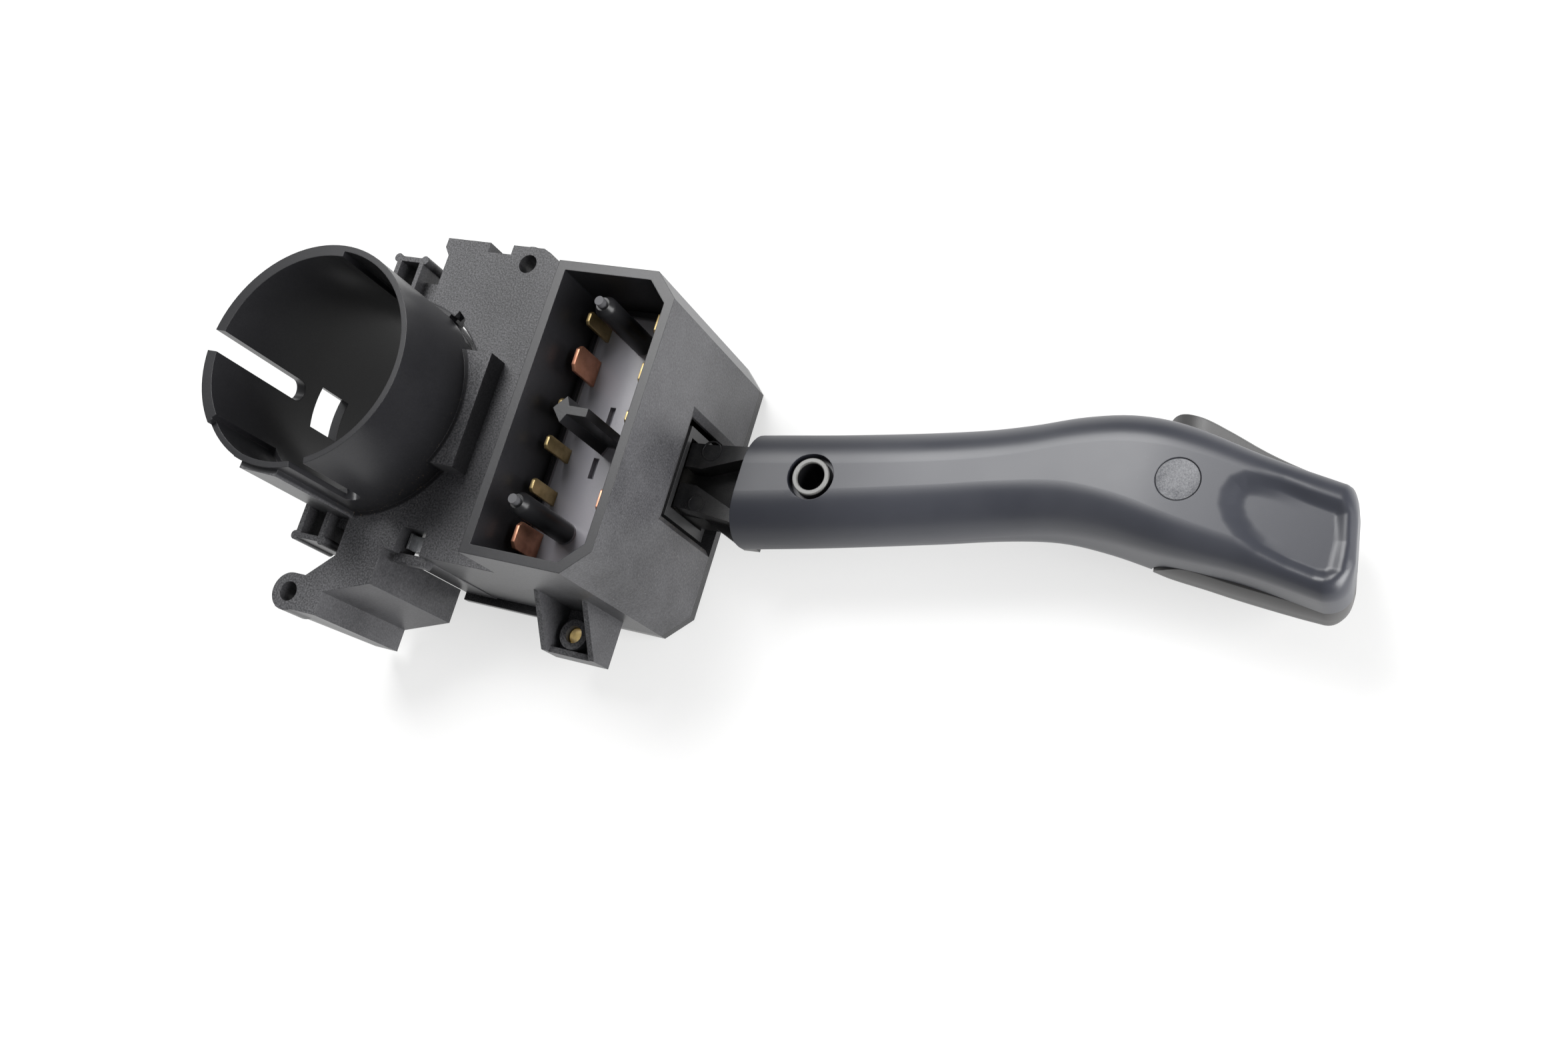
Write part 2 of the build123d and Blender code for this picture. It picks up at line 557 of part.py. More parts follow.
def cover_screw(x, y):
    """Return one pan-head screw for the back cover."""
    under = COVER_TOP_Z - COVER
    shank = rod(x, y, under, COVER_TOP_Z + COVER_SCREW_LENGTH - 0.5, COVER_SCREW_R - 0.05)
    head = rod(x, y, under - COVER_SCREW_HEAD, under, COVER_SCREW_HEAD_R)
    drive = slab(x - 1.6, x + 1.6, y - 0.35, y + 0.35, under - COVER_SCREW_HEAD, under - 0.6)
    cross = slab(x - 0.35, x + 0.35, y - 1.6, y + 1.6, under - COVER_SCREW_HEAD, under - 0.6)
    return shank + head - drive - cross


def blade_slots():
    """Return the centre and width of every blade in both rows."""
    rows = [(LEFT_ROW_X, y, width) for y, width in LEFT_ROW]
    rows += [(RIGHT_ROW_X, y, width) for y, width in RIGHT_ROW]
    return rows


def guide_pin(x, y):
    """Return one guide pin with a tapered nose."""
    shoulder = GUIDE_PIN_TOP - GUIDE_PIN_NOSE
    pin = rod(x, y, SHELF_Z, shoulder, GUIDE_PIN_R)
    nose = Pos(x, y, shoulder + GUIDE_PIN_NOSE / 4) * Cone(
        GUIDE_PIN_R, GUIDE_PIN_R * 0.62, GUIDE_PIN_NOSE / 2)
    tip = rod(x, y, shoulder, GUIDE_PIN_TOP, GUIDE_PIN_R * 0.42)
    return pin + nose + tip


def coding_blade():
    """Return the arrow-shaped blade that codes the plug."""
    left = CODING_X - CODING_LENGTH / 2
    right = CODING_X + CODING_LENGTH / 2
    half = CODING_WEB / 2
    head = CODING_HEAD / 2
    neck = left + CODING_HEAD * 0.45
    arrow = [(left, CODING_Y), (neck, CODING_Y - head), (neck + 0.9, CODING_Y - half),
             (right, CODING_Y - half), (right, CODING_Y + half), (neck + 0.9, CODING_Y + half),
             (neck, CODING_Y + head)]
    return prism(arrow, SHELF_Z, CODING_TOP)


def terminal_carrier():
    """Return the socket floor with guide pins, coding blade and blade slots."""
    gap = WALL + SEAT_GAP
    plate = prism(case_outline(gap, SOCKET_LEFT + gap), SHELF_Z, FLOOR_TOP)
    lip = slab(SOCKET_LEFT + gap, SOCKET_LEFT + gap + 0.7, CASE_BOTTOM + 4, CASE_TOP - gap,
               FLOOR_TOP, FLOOR_TOP + 1.6)
    step = slab(SOCKET_LEFT + gap, CASE_RIGHT - gap - CASE_CHAMFER, CASE_TOP - gap - 1.2,
                CASE_TOP - gap, FLOOR_TOP, FLOOR_TOP + 1.6)
    body = plate + lip + step + coding_blade()
    for x, y in GUIDE_PINS:
        body += guide_pin(x, y)
    for x, y, width in blade_slots():
        body -= slab(x - BLADE_THICK / 2, x + BLADE_THICK / 2, y - width / 2, y + width / 2,
                     SHELF_Z - 1, FLOOR_TOP + 1)
    side = CODING_HEAD / 2 + 0.6
    for end in (-1, 1):
        y0, y1 = sorted((CODING_Y + end * side, CODING_Y + end * (side + 4.2)))
        body -= slab(50.4, 51.6, y0, y1, FLOOR_TOP - 1.2, FLOOR_TOP + 1)
    return body


def blade(x, y, width):
    """Return one flat contact blade with chamfered corners at its tip."""
    half = width / 2
    bevel = width * 0.2
    face = Plane.YZ * make_face(Polyline(
        (y - half, SHELF_Z - BLADE_TAIL), (y + half, SHELF_Z - BLADE_TAIL),
        (y + half, BLADE_TOP - bevel), (y + half - bevel, BLADE_TOP),
        (y - half + bevel, BLADE_TOP), (y - half, BLADE_TOP - bevel), close=True))
    return Pos(x - BLADE_THICK / 2, 0, 0) * extrude(face, BLADE_THICK)


def threaded_insert():
    """Return the knurled brass insert in the screw lug."""
    top = boss_top() - INSERT_SINK
    middle = top - INSERT_LENGTH / 2
    sleeve = rod(BOSS_X, BOSS_Y, top - INSERT_LENGTH, top, INSERT_R)
    groove = rod(BOSS_X, BOSS_Y, middle - 0.3, middle + 0.3, INSERT_R + 1)
    groove -= rod(BOSS_X, BOSS_Y, middle - 0.4, middle + 0.4, INSERT_R - 0.25)
    bore = rod(BOSS_X, BOSS_Y, top - INSERT_LENGTH - 1, top + 1, INSERT_BORE_R)
    return sleeve - groove - bore


def spring_clip():
    """Return the bent steel clip under the small window of the deck."""
    left = CASE_LEFT - 5.6
    leaf = slab(left, CASE_LEFT, -27.2, -24.0, CLIP_STEEL_Z - CLIP_STEEL, CLIP_STEEL_Z)
    leg = slab(CASE_LEFT - CLIP_STEEL, CASE_LEFT, -27.2, -24.0, CLIP_STEEL_Z - 7.0, CLIP_STEEL_Z)
    hook = slab(left, left + CLIP_STEEL, -27.2, -24.0, CLIP_STEEL_Z, CLIP_STEEL_Z + 1.8)
    return leaf + leg + hook


def turn_pin():
    """Return the steel pivot of the turn signal carrier."""
    return rod(TURN_X, LEVER_Y, COVER_TOP_Z - PIVOT_SEAT, CASE_INNER_TOP_Z + PIVOT_SEAT, TURN_PIN_R)


def turn_carrier():
    """Return the yoke that swings left and right and carries the lever."""
    floor = slab(TURN_X, CHEEK_END_X, LEVER_Y - CHEEK_OUTER, LEVER_Y + CHEEK_OUTER,
                 YOKE_FLOOR_Z, YOKE_FLOOR_TOP_Z)
    bridge = slab(TURN_X, CHEEK_END_X, LEVER_Y - CHEEK_OUTER, LEVER_Y + CHEEK_OUTER,
                  YOKE_TOP_Z - YOKE_BRIDGE, YOKE_TOP_Z)
    body = floor + bridge
    for end in (-1, 1):
        y0, y1 = sorted((LEVER_Y + end * CHEEK_INNER, LEVER_Y + end * CHEEK_OUTER))
        body += slab(TURN_X, CHEEK_END_X, y0, y1, YOKE_FLOOR_Z, YOKE_TOP_Z)
    hub_top = CASE_INNER_TOP_Z - FACE_GAP
    body += rod(TURN_X, LEVER_Y, YOKE_FLOOR_Z, hub_top, TURN_HUB_R)
    tail = slab(TAIL_END_X, TURN_X, LEVER_Y - TAIL_HALF, LEVER_Y + TAIL_HALF,
                TAIL_TOP_Z - TAIL_HEIGHT, TAIL_TOP_Z)
    body += tail - rod_x(TAIL_END_X - 1, TAIL_END_X + PLUNGER_BORE, LEVER_Y, TAIL_Z, SPRING_HOLE_R)
    body += rod(DRIVE_PIN_X, LEVER_Y, YOKE_TOP_Z - 0.5, SLIDER_BOTTOM_Z + SLIDER_HEIGHT, DRIVE_PIN_R)
    body -= rod(TURN_X, LEVER_Y, YOKE_FLOOR_Z - 1, hub_top + 1, TURN_PIN_R + RUN_CLEARANCE)
    body -= rod_y(LEVER_Y - CHEEK_OUTER - 1, LEVER_Y + CHEEK_OUTER + 1, FLASH_X, FLASH_Z, FLASH_PIN_R)
    return body


def flash_pin():
    """Return the steel hinge pin of the lever in the carrier."""
    return rod_y(LEVER_Y - CHEEK_OUTER, LEVER_Y + CHEEK_OUTER, FLASH_X, FLASH_Z, FLASH_PIN_R)


def neck_outline():
    """Return the plan of the lever root: straight in the window, then flared to the stem."""
    inside_x = STEM_X + 1.2
    flare_end = STEM_X - 2.2
    low = [(CORE_TAIL_X, LEVER_Y - CORE_HALF), (NECK_FLARE_X, LEVER_Y - CORE_HALF),
           (flare_end, LEVER_Y - NECK_HALF), (inside_x, LEVER_Y - NECK_HALF)]
    high = [(x, 2 * LEVER_Y - y) for x, y in reversed(low)]
    return low + high


def neck_rib(side):
    """Return one triangular rib, wide in the window and narrow where it meets the stem."""
    inner = LEVER_Y + side * 1.7
    outer = LEVER_Y + side * (CORE_HALF - 0.3)
    edge = LEVER_Y + side * CORE_HALF
    points = [(NECK_RIB_START_X, inner), (NECK_RIB_START_X, outer), (NECK_FLARE_X, edge),
              (STEM_X + 0.8, edge + side * 1.1), (STEM_X + 0.8, edge - side * 0.5),
              (NECK_RIB_START_X + 3.6, inner)]
    return prism(points, CORE_TOP_Z - 0.5, NECK_RIB_TOP_Z)


def stem_bar(extra):
    """Return the inclined bar on which the lever shell is pressed, grown by extra."""
    length = STEM_BAR_END_X - STEM_X
    bar = Box(length + 2 + extra, STEM_BAR_WIDTH + 2 * extra, STEM_BAR_DEPTH + 2 * extra)
    shift = Pos(length / 2 - 1 + extra / 2, 0, 0)
    return Pos(STEM_X, LEVER_Y, STEM_Z - 1.5) * Rot(0, 0, STEM_TILT) * shift * bar


def lever_core():
    """Return the lever root: hinge block, neck, ribs and the bar inside the stem."""
    body = prism(neck_outline(), CORE_BOTTOM_Z, CORE_TOP_Z)
    body += neck_rib(1) + neck_rib(-1) + stem_bar(0)
    body += rod(FLASH_X, LEVER_Y, CORE_TOP_Z - 0.5, NIB_TOP_Z, NIB_R)
    body -= rod_y(LEVER_Y - CORE_HALF - 1, LEVER_Y + CORE_HALF + 1, FLASH_X, FLASH_Z,
                  FLASH_PIN_R + RUN_CLEARANCE)
    body -= rod(FLASH_PLUNGER_X, LEVER_Y, CORE_BOTTOM_Z - 1, CORE_BOTTOM_Z + FLASH_BORE,
                FLASH_PLUNGER_R + RUN_CLEARANCE)
    body -= rod(SCREW_X, SCREW_Y, STEM_Z - 12, STEM_Z + 12, BUSH_R)
    return body


def smooth(points, x):
    """Return the value at x of a smooth curve through points, as a cubic between neighbours."""
    last = len(points) - 2
    index = max(i for i in range(last + 1) if i == 0 or points[i][0] <= x)
    x0, y0 = points[index]
    x1, y1 = points[index + 1]
    before = points[max(index - 1, 0)]
    after = points[min(index + 2, last + 1)]
    slope0 = (y1 - before[1]) / (x1 - before[0])
    slope1 = (after[1] - y0) / (after[0] - x0)
    run = x1 - x0
    t = (x - x0) / run
    value = y0 * (2 * t**3 - 3 * t**2 + 1) + y1 * (3 * t**2 - 2 * t**3)
    return value + run * (slope0 * (t**3 - 2 * t**2 + t) + slope1 * (t**3 - t**2))


def stations(start, end, count):
    """Return count evenly spaced stations from start to end."""
    return [start + (end - start) * number / (count - 1) for number in range(count)]


def section(x, low, high, back, front, radius):
    """Return a rounded rectangle across the lever at station x."""
    plane = Plane(origin=(x, (low + high) / 2, (back + front) / 2), x_dir=(0, 1, 0), z_dir=(1, 0, 0))
    return plane * RectangleRounded(high - low, front - back, radius)


def form_section(x, shrink=0.0):
    """Return the section of the stem and paddle at station x, moved in by shrink."""
    low = smooth(LEVER_LOW, x) + shrink
    high = smooth(LEVER_HIGH, x) - shrink
    back = smooth(LEVER_BACK, x) + shrink
    front = smooth(LEVER_FRONT, x) - shrink
    return section(x, low, high, back, front, smooth(LEVER_EDGE, x))


def end_section(angle, low, high, back, front, radius):
    """Return a section of the rounded paddle end, angle degrees round the corner."""
    shrink = END_ROUND * (1 - cos(radians(angle)))
    x = PADDLE_FULL_X + (LEVER_END_X - PADDLE_FULL_X) * sin(radians(angle))
    return section(x, low + shrink, high - shrink, back + shrink * END_EDGE,
                   front - shrink * END_EDGE, radius)


def lever_form():
    """Return the whole outer form of stem and paddle before it is parted."""
    sections = [form_section(x) for x in stations(STEM_X, PADDLE_FULL_X, LEVER_STATIONS)]
    for angle in (25, 50, 72, 88):
        sections.append(end_section(angle, LEVER_LOW[-1][1], LEVER_HIGH[-1][1], LEVER_BACK[-1][1],
                                    LEVER_FRONT[-1][1], LEVER_EDGE[-1][1]))
    return loft(sections, ruled=True)


def parting_cutter(extra):
    """Return the space behind the parting line, grown by extra."""
    centre_x = PARTING_X + PARTING_R
    centre_z = PARTING_Z - PARTING_R
    far = LEVER_END_X + 10
    body = slab(centre_x, far, -30, 60, -60, PARTING_Z + extra)
    body += slab(PARTING_X - extra, centre_x, -30, 60, -60, centre_z)
    return body + rod_y(-30, 60, centre_x, centre_z, PARTING_R + extra)


def dish():
    """Return the shallow finger dish: a round left side, straight edges and a blunt end."""
    face = make_face(Polyline(*DISH_EDGE, close=True))
    face = fillet(face.vertices(), DISH_CORNER)
    top = PADDLE_FRONT_Z + 1.0
    return Pos(0, 0, top) * extrude(face, -(DISH_DEPTH + 1.0), taper=24)


def lever_shell():
    """Return the stem with the front half of the paddle."""
    body = lever_form() - parting_cutter(SEAT_GAP) - stem_bar(0) - dish()
    front = STEM_Z + STEM_DEPTH / 2
    body -= prism(neck_outline(), CORE_BOTTOM_Z, CORE_TOP_Z)
    body -= neck_rib(1)
    body -= neck_rib(-1)
    body -= rod(SCREW_X, SCREW_Y, front - RECESS_DEPTH, front + 3, RECESS_R)
    body -= rod(SCREW_X, SCREW_Y, front - 0.8 - BUSH_LENGTH, front, BUSH_R)
    body -= rod(DISC_X, DISC_Y, PADDLE_FRONT_Z - DISC_THICK, PADDLE_FRONT_Z + 3, DISC_R)
    return body


def lever_back_shell():
    """Return the humped shell behind the paddle."""
    sections = []
    for x in stations(PARTING_X - 1.0, PADDLE_FULL_X, BACK_STATIONS):
        low = smooth(LEVER_LOW, x) - BACK_STEP
        high = smooth(HUMP_HIGH, x)
        sections.append(section(x, low, high, smooth(LEVER_BACK, x), PARTING_Z, BACK_EDGE))
    for angle in (30, 60, 85):
        sections.append(end_section(angle, LEVER_LOW[-1][1] - BACK_STEP, HUMP_HIGH[-1][1],
                                    LEVER_BACK[-1][1], PARTING_Z, BACK_EDGE))
    return loft(sections, ruled=True) & parting_cutter(0)


def lever_disc():
    """Return the grained blanking disc in the paddle."""
    return rod(DISC_X, DISC_Y, PADDLE_FRONT_Z - DISC_THICK, PADDLE_FRONT_Z - 0.1,
               DISC_R - RUN_CLEARANCE)


def lever_bush():
    """Return the sleeve in the stem through which the lever is screwed to its root."""
    top = STEM_Z + STEM_DEPTH / 2 - 0.8
    ring = rod(SCREW_X, SCREW_Y, top - BUSH_LENGTH, top, BUSH_R)
    return ring - rod(SCREW_X, SCREW_Y, top - BUSH_LENGTH + 1.5, top + 1, BUSH_BORE_R)


def detent_cam():
    """Return the cam with three notches against which the turn plunger rests."""
    left = CASE_LEFT + WALL
    body = slab(left, PLUNGER_NOSE_X + 2.0, LEVER_Y - CAM_HALF, LEVER_Y + CAM_HALF,
                TAIL_Z - 3.5, TAIL_Z + 3.5)
    body -= rod(TURN_X, LEVER_Y, TAIL_Z - 5, TAIL_Z + 5, CAM_R - CAM_RIDGE)
    notches = Part()
    for angle in (-TURN_ANGLE, 0, TURN_ANGLE):
        notch = rod_z_notch(angle)
        notches += notch
    return body - notches


def rod_z_notch(angle):
    """Return the round notch that the plunger meets at the given turn angle."""
    reach = CAM_R - PLUNGER_R
    x = TURN_X - reach * cos(radians(angle))
    y = LEVER_Y - reach * sin(radians(angle))
    return rod(x, y, TAIL_Z - 5, TAIL_Z + 5, PLUNGER_R)


def nose(radius):
    """Return a plunger's tapered nose, tip at the origin and base along +Z."""
    length = radius - PLUNGER_TIP
    return Pos(0, 0, PLUNGER_TIP + length / 2) * Cone(radius * 0.4, radius, length)


def turn_plunger():
    """Return the nosed plunger of the turn signal detent."""
    body = rod_x(PLUNGER_NOSE_X + PLUNGER_R, PLUNGER_NOSE_X + PLUNGER_LENGTH, LEVER_Y, TAIL_Z, PLUNGER_R)
    return body + Pos(PLUNGER_NOSE_X, LEVER_Y, TAIL_Z) * Rot(0, 90, 0) * nose(PLUNGER_R)


def coil(radius, length, turns):
    """Return a coil spring along Z as a sleeve of turns with grooves between them."""
    step = length / (2 * turns + 1)
    body = Part()
    for number in range(2 * turns + 1):
        outer = radius - SPRING_WIRE * 0.6 * (number % 2)
        body += Pos(0, 0, number * step) * extrude(RegularPolygon(outer, SPRING_SIDES), step)
    bore = RegularPolygon(radius - 2 * SPRING_WIRE, SPRING_SIDES)
    return body - extrude(bore, length)


def turn_spring():
    """Return the spring behind the turn plunger."""
    start = PLUNGER_NOSE_X + PLUNGER_LENGTH
    length = TAIL_END_X + PLUNGER_BORE - start
    return Pos(start, LEVER_Y, TAIL_Z) * Rot(0, 90, 0) * coil(PLUNGER_R - 0.1, length, 3)


def flash_plunger():
    """Return the plunger that holds the lever level in the carrier."""
    foot_z = YOKE_FLOOR_TOP_Z + FACE_GAP
    body = rod(FLASH_PLUNGER_X, LEVER_Y, foot_z + FLASH_PLUNGER_R, foot_z + FLASH_PLUNGER_LENGTH,
               FLASH_PLUNGER_R)
    return body + Pos(FLASH_PLUNGER_X, LEVER_Y, foot_z) * nose(FLASH_PLUNGER_R)


def flash_spring():
    """Return the spring above the flash plunger."""
    start = YOKE_FLOOR_TOP_Z + FACE_GAP + FLASH_PLUNGER_LENGTH
    length = CORE_BOTTOM_Z + FLASH_BORE - start
    return Pos(FLASH_PLUNGER_X, LEVER_Y, start) * coil(FLASH_PLUNGER_R - 0.1, length, 2)


def cancel_pawl():
    """Return the self-cancelling pawl that slides towards the collar."""
    bottom = PAWL_TOP_Z - PAWL_THICK
    body = slab(PAWL_NOSE_X + 2, PAWL_END_X, LEVER_Y - PAWL_HALF, LEVER_Y + PAWL_HALF,
                bottom, PAWL_TOP_Z)
    nose = prism([(PAWL_NOSE_X, LEVER_Y), (PAWL_NOSE_X + 2, LEVER_Y - PAWL_HALF),
                  (PAWL_NOSE_X + 2, LEVER_Y + PAWL_HALF)], bottom, PAWL_TOP_Z)
    relief = slab(PAWL_NOSE_X + 5, PAWL_END_X - 2.5, LEVER_Y - 1.6, LEVER_Y + 1.6, bottom, PAWL_TOP_Z)
    return body + nose - relief


def cancel_spring():
    """Return the spring that pushes the pawl towards the collar."""
    length = PAWL_STOP_X - PAWL_END_X
    z = PAWL_TOP_Z - PAWL_THICK / 2
    return Pos(PAWL_END_X, LEVER_Y, z) * Rot(0, 90, 0) * coil(1.2, length, 2)


def turn_slider():
    """Return the slider that the carrier's drive pin pushes along Y."""
    top = SLIDER_BOTTOM_Z + SLIDER_HEIGHT
    body = slab(SLIDER_X, SLIDER_X + SLIDER_LENGTH, LEVER_Y - SLIDER_HALF, LEVER_Y + SLIDER_HALF,
                SLIDER_BOTTOM_Z, top)
    play = DRIVE_PIN_R + RUN_CLEARANCE
    return body - slab(DRIVE_PIN_X - play - 0.4, DRIVE_PIN_X + play + 0.4, LEVER_Y - play,
                       LEVER_Y + play, SLIDER_BOTTOM_Z - 1, top + 1)


def turn_contact():
    """Return the copper bridges on the turn slider, joined by their carrier strip."""
    top = SLIDER_BOTTOM_Z + SLIDER_HEIGHT
    strip = slab(SLIDER_X + 0.4, SLIDER_X + 1.4, LEVER_Y - 8.5, LEVER_Y + 8.5, top, top + CONTACT_THICK)
    for y in (LEVER_Y - 7.5, LEVER_Y + 4.5):
        strip += slab(SLIDER_X + 0.4, SLIDER_X + 4.6, y, y + 3.0, top, top + CONTACT_THICK)
    return strip


def dimmer_slider():
    """Return the slider that the lever's nib pushes along the carrier."""
    left = TURN_X + TURN_HUB_R + HUB_GAP + 0.4
    bottom = DIMMER_TOP_Z - DIMMER_HEIGHT
    body = slab(left, FLASH_X + DIMMER_LENGTH / 2, LEVER_Y - DIMMER_HALF, LEVER_Y + DIMMER_HALF,
                bottom, DIMMER_TOP_Z)
    side = NIB_R + RUN_CLEARANCE
    play = NIB_R + NIB_PLAY
    pocket = slab(FLASH_X - play, FLASH_X + play, LEVER_Y - side, LEVER_Y + side,
                  bottom - 1, NIB_TOP_Z + 0.6)
    return body - pocket


def dimmer_contact():
    """Return the copper strip on the dimmer slider."""
    return slab(FLASH_X - 3.0, FLASH_X + 4.0, LEVER_Y - 2.0, LEVER_Y + 2.0,
                DIMMER_TOP_Z, DIMMER_TOP_Z + CONTACT_THICK)


def all_nodes():
    """Return every node's name and solid."""
    nodes = {
        "housing": housing(),
        "back_cover": back_cover(),
        "terminal_carrier": terminal_carrier(),
        "threaded_insert": threaded_insert(),
        "spring_clip": spring_clip(),
        "turn_pin": turn_pin(),
        "detent_cam": detent_cam(),
        "turn_carrier": turn_carrier(),
        "flash_pin": flash_pin(),
        "turn_plunger": turn_plunger(),
        "turn_spring": turn_spring(),
        "cancel_pawl": cancel_pawl(),
        "cancel_spring": cancel_spring(),
        "turn_slider": turn_slider(),
        "turn_contact": turn_contact(),
        "dimmer_slider": dimmer_slider(),
        "dimmer_contact": dimmer_contact(),
        "flash_plunger": flash_plunger(),
        "flash_spring": flash_spring(),
        "lever_core": lever_core(),
        "lever_shell": lever_shell(),
        "lever_back_shell": lever_back_shell(),
        "lever_disc": lever_disc(),
        "lever_bush": lever_bush(),
    }
    for number, (y, width) in enumerate(LEFT_ROW, start=1):
        nodes[f"blade_left_{number}"] = blade(LEFT_ROW_X, y, width)
    for number, (y, width) in enumerate(RIGHT_ROW, start=1):
        nodes[f"blade_right_{number}"] = blade(RIGHT_ROW_X, y, width)
    for number, (x, y) in enumerate(cover_screws(), start=1):
        nodes[f"cover_screw_{number}"] = cover_screw(x, y)
    return nodes


for name, solid in all_nodes().items():
    export_step(solid, f"parts/{name}.step")
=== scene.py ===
"""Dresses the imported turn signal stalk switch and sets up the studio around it."""

import json
import logging
import math
from dataclasses import dataclass
from enum import Enum
from typing import Any

import bmesh
import bpy
from mathutils import Matrix, Vector


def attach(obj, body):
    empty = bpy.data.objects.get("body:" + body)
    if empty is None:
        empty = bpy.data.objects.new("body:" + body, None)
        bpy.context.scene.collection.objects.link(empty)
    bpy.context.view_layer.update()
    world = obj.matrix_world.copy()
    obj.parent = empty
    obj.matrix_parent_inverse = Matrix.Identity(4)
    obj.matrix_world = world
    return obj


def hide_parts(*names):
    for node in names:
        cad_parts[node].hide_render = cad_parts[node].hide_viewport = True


Point = tuple[float, float]
Span = tuple[float, float]
Triple = tuple[float, float, float]
Outline = tuple[Point, ...]

LOG = logging.getLogger("stalk_switch")
MM = 0.001
MERGE_DISTANCE = 1e-6
EDGE_SEGMENTS = 2
TURN_STEPS = 64
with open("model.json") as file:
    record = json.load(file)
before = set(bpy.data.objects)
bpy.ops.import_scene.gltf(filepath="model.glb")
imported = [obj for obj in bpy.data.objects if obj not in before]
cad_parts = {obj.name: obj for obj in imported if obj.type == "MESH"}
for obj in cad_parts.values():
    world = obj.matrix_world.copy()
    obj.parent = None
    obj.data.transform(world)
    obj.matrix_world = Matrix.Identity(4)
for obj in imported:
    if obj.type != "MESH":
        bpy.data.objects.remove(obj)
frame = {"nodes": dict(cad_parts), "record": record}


# Shader maths

class Sock:
    """One output socket of a node, with arithmetic that adds Math nodes."""

    def __init__(self, maker: "NodeMaker", socket: bpy.types.NodeSocket) -> None:
        """Wrap a socket.

        Args:
            maker: the node maker that owns the socket's tree.
            socket: the output socket.
        """
        self.maker = maker
        self.socket = socket

    def _math(self, operation: str, first: Any, second: Any = 0.0, clamp: bool = False) -> "Sock":
        """Return the result of one Math node.

        Args:
            operation: the node's operation.
            first: its first number or socket.
            second: its second number or socket.
            clamp: whether the result is held between 0 and 1.

        Returns:
            The node's output.
        """
        return self.maker.node("ShaderNodeMath", {"operation": operation, "use_clamp": clamp},
                               {0: first, 1: second})

    def __add__(self, other: Any) -> "Sock":
        """Add a number or socket."""
        return self._math("ADD", self, other)

    def __radd__(self, other: Any) -> "Sock":
        """Add from the right."""
        return self._math("ADD", other, self)

    def __sub__(self, other: Any) -> "Sock":
        """Subtract a number or socket."""
        return self._math("SUBTRACT", self, other)

    def __rsub__(self, other: Any) -> "Sock":
        """Subtract from a number."""
        return self._math("SUBTRACT", other, self)

    def __mul__(self, other: Any) -> "Sock":
        """Multiply by a number or socket."""
        return self._math("MULTIPLY", self, other)

    def __rmul__(self, other: Any) -> "Sock":
        """Multiply from the right."""
        return self._math("MULTIPLY", other, self)

    def __pow__(self, other: Any) -> "Sock":
        """Raise to a power."""
        return self._math("POWER", self, other)

    def clamp(self) -> "Sock":
        """Return the value held between 0 and 1."""
        return self._math("ADD", self, 0.0, clamp=True)

    def absolute(self) -> "Sock":
        """Return the value without its sign."""
        return self._math("ABSOLUTE", self)

    def centred(self) -> "Sock":
        """Return noise less its mean of a half."""
        return self._math("SUBTRACT", self, 0.5)

    def ramp(self, low: float, high: float) -> "Sock":
        """Return 0 below low, 1 above high and a smooth step between.

        Args:
            low: value that maps to 0.
            high: value that maps to 1; it may be under low.

        Returns:
            The stepped value.
        """
        return self.maker.node("ShaderNodeMapRange", {"interpolation_type": "SMOOTHSTEP"},
                               {"Value": self, "From Min": low, "From Max": high})


@dataclass(frozen=True)
class Speckle:
    """Fractal noise: cells per millimetre, octaves, strength of the finer ones and stretch."""

    scale: float
    octaves: float = 2.0
    finer: float = 0.5
    stretch: Triple = (1.0, 1.0, 1.0)


@dataclass(frozen=True)
class Relief:
    """Bump: millimetres for a height of 1, share that shows and radius of softened edges."""

    depth: float
    strength: float = 1.0
    edge: float = 0.0


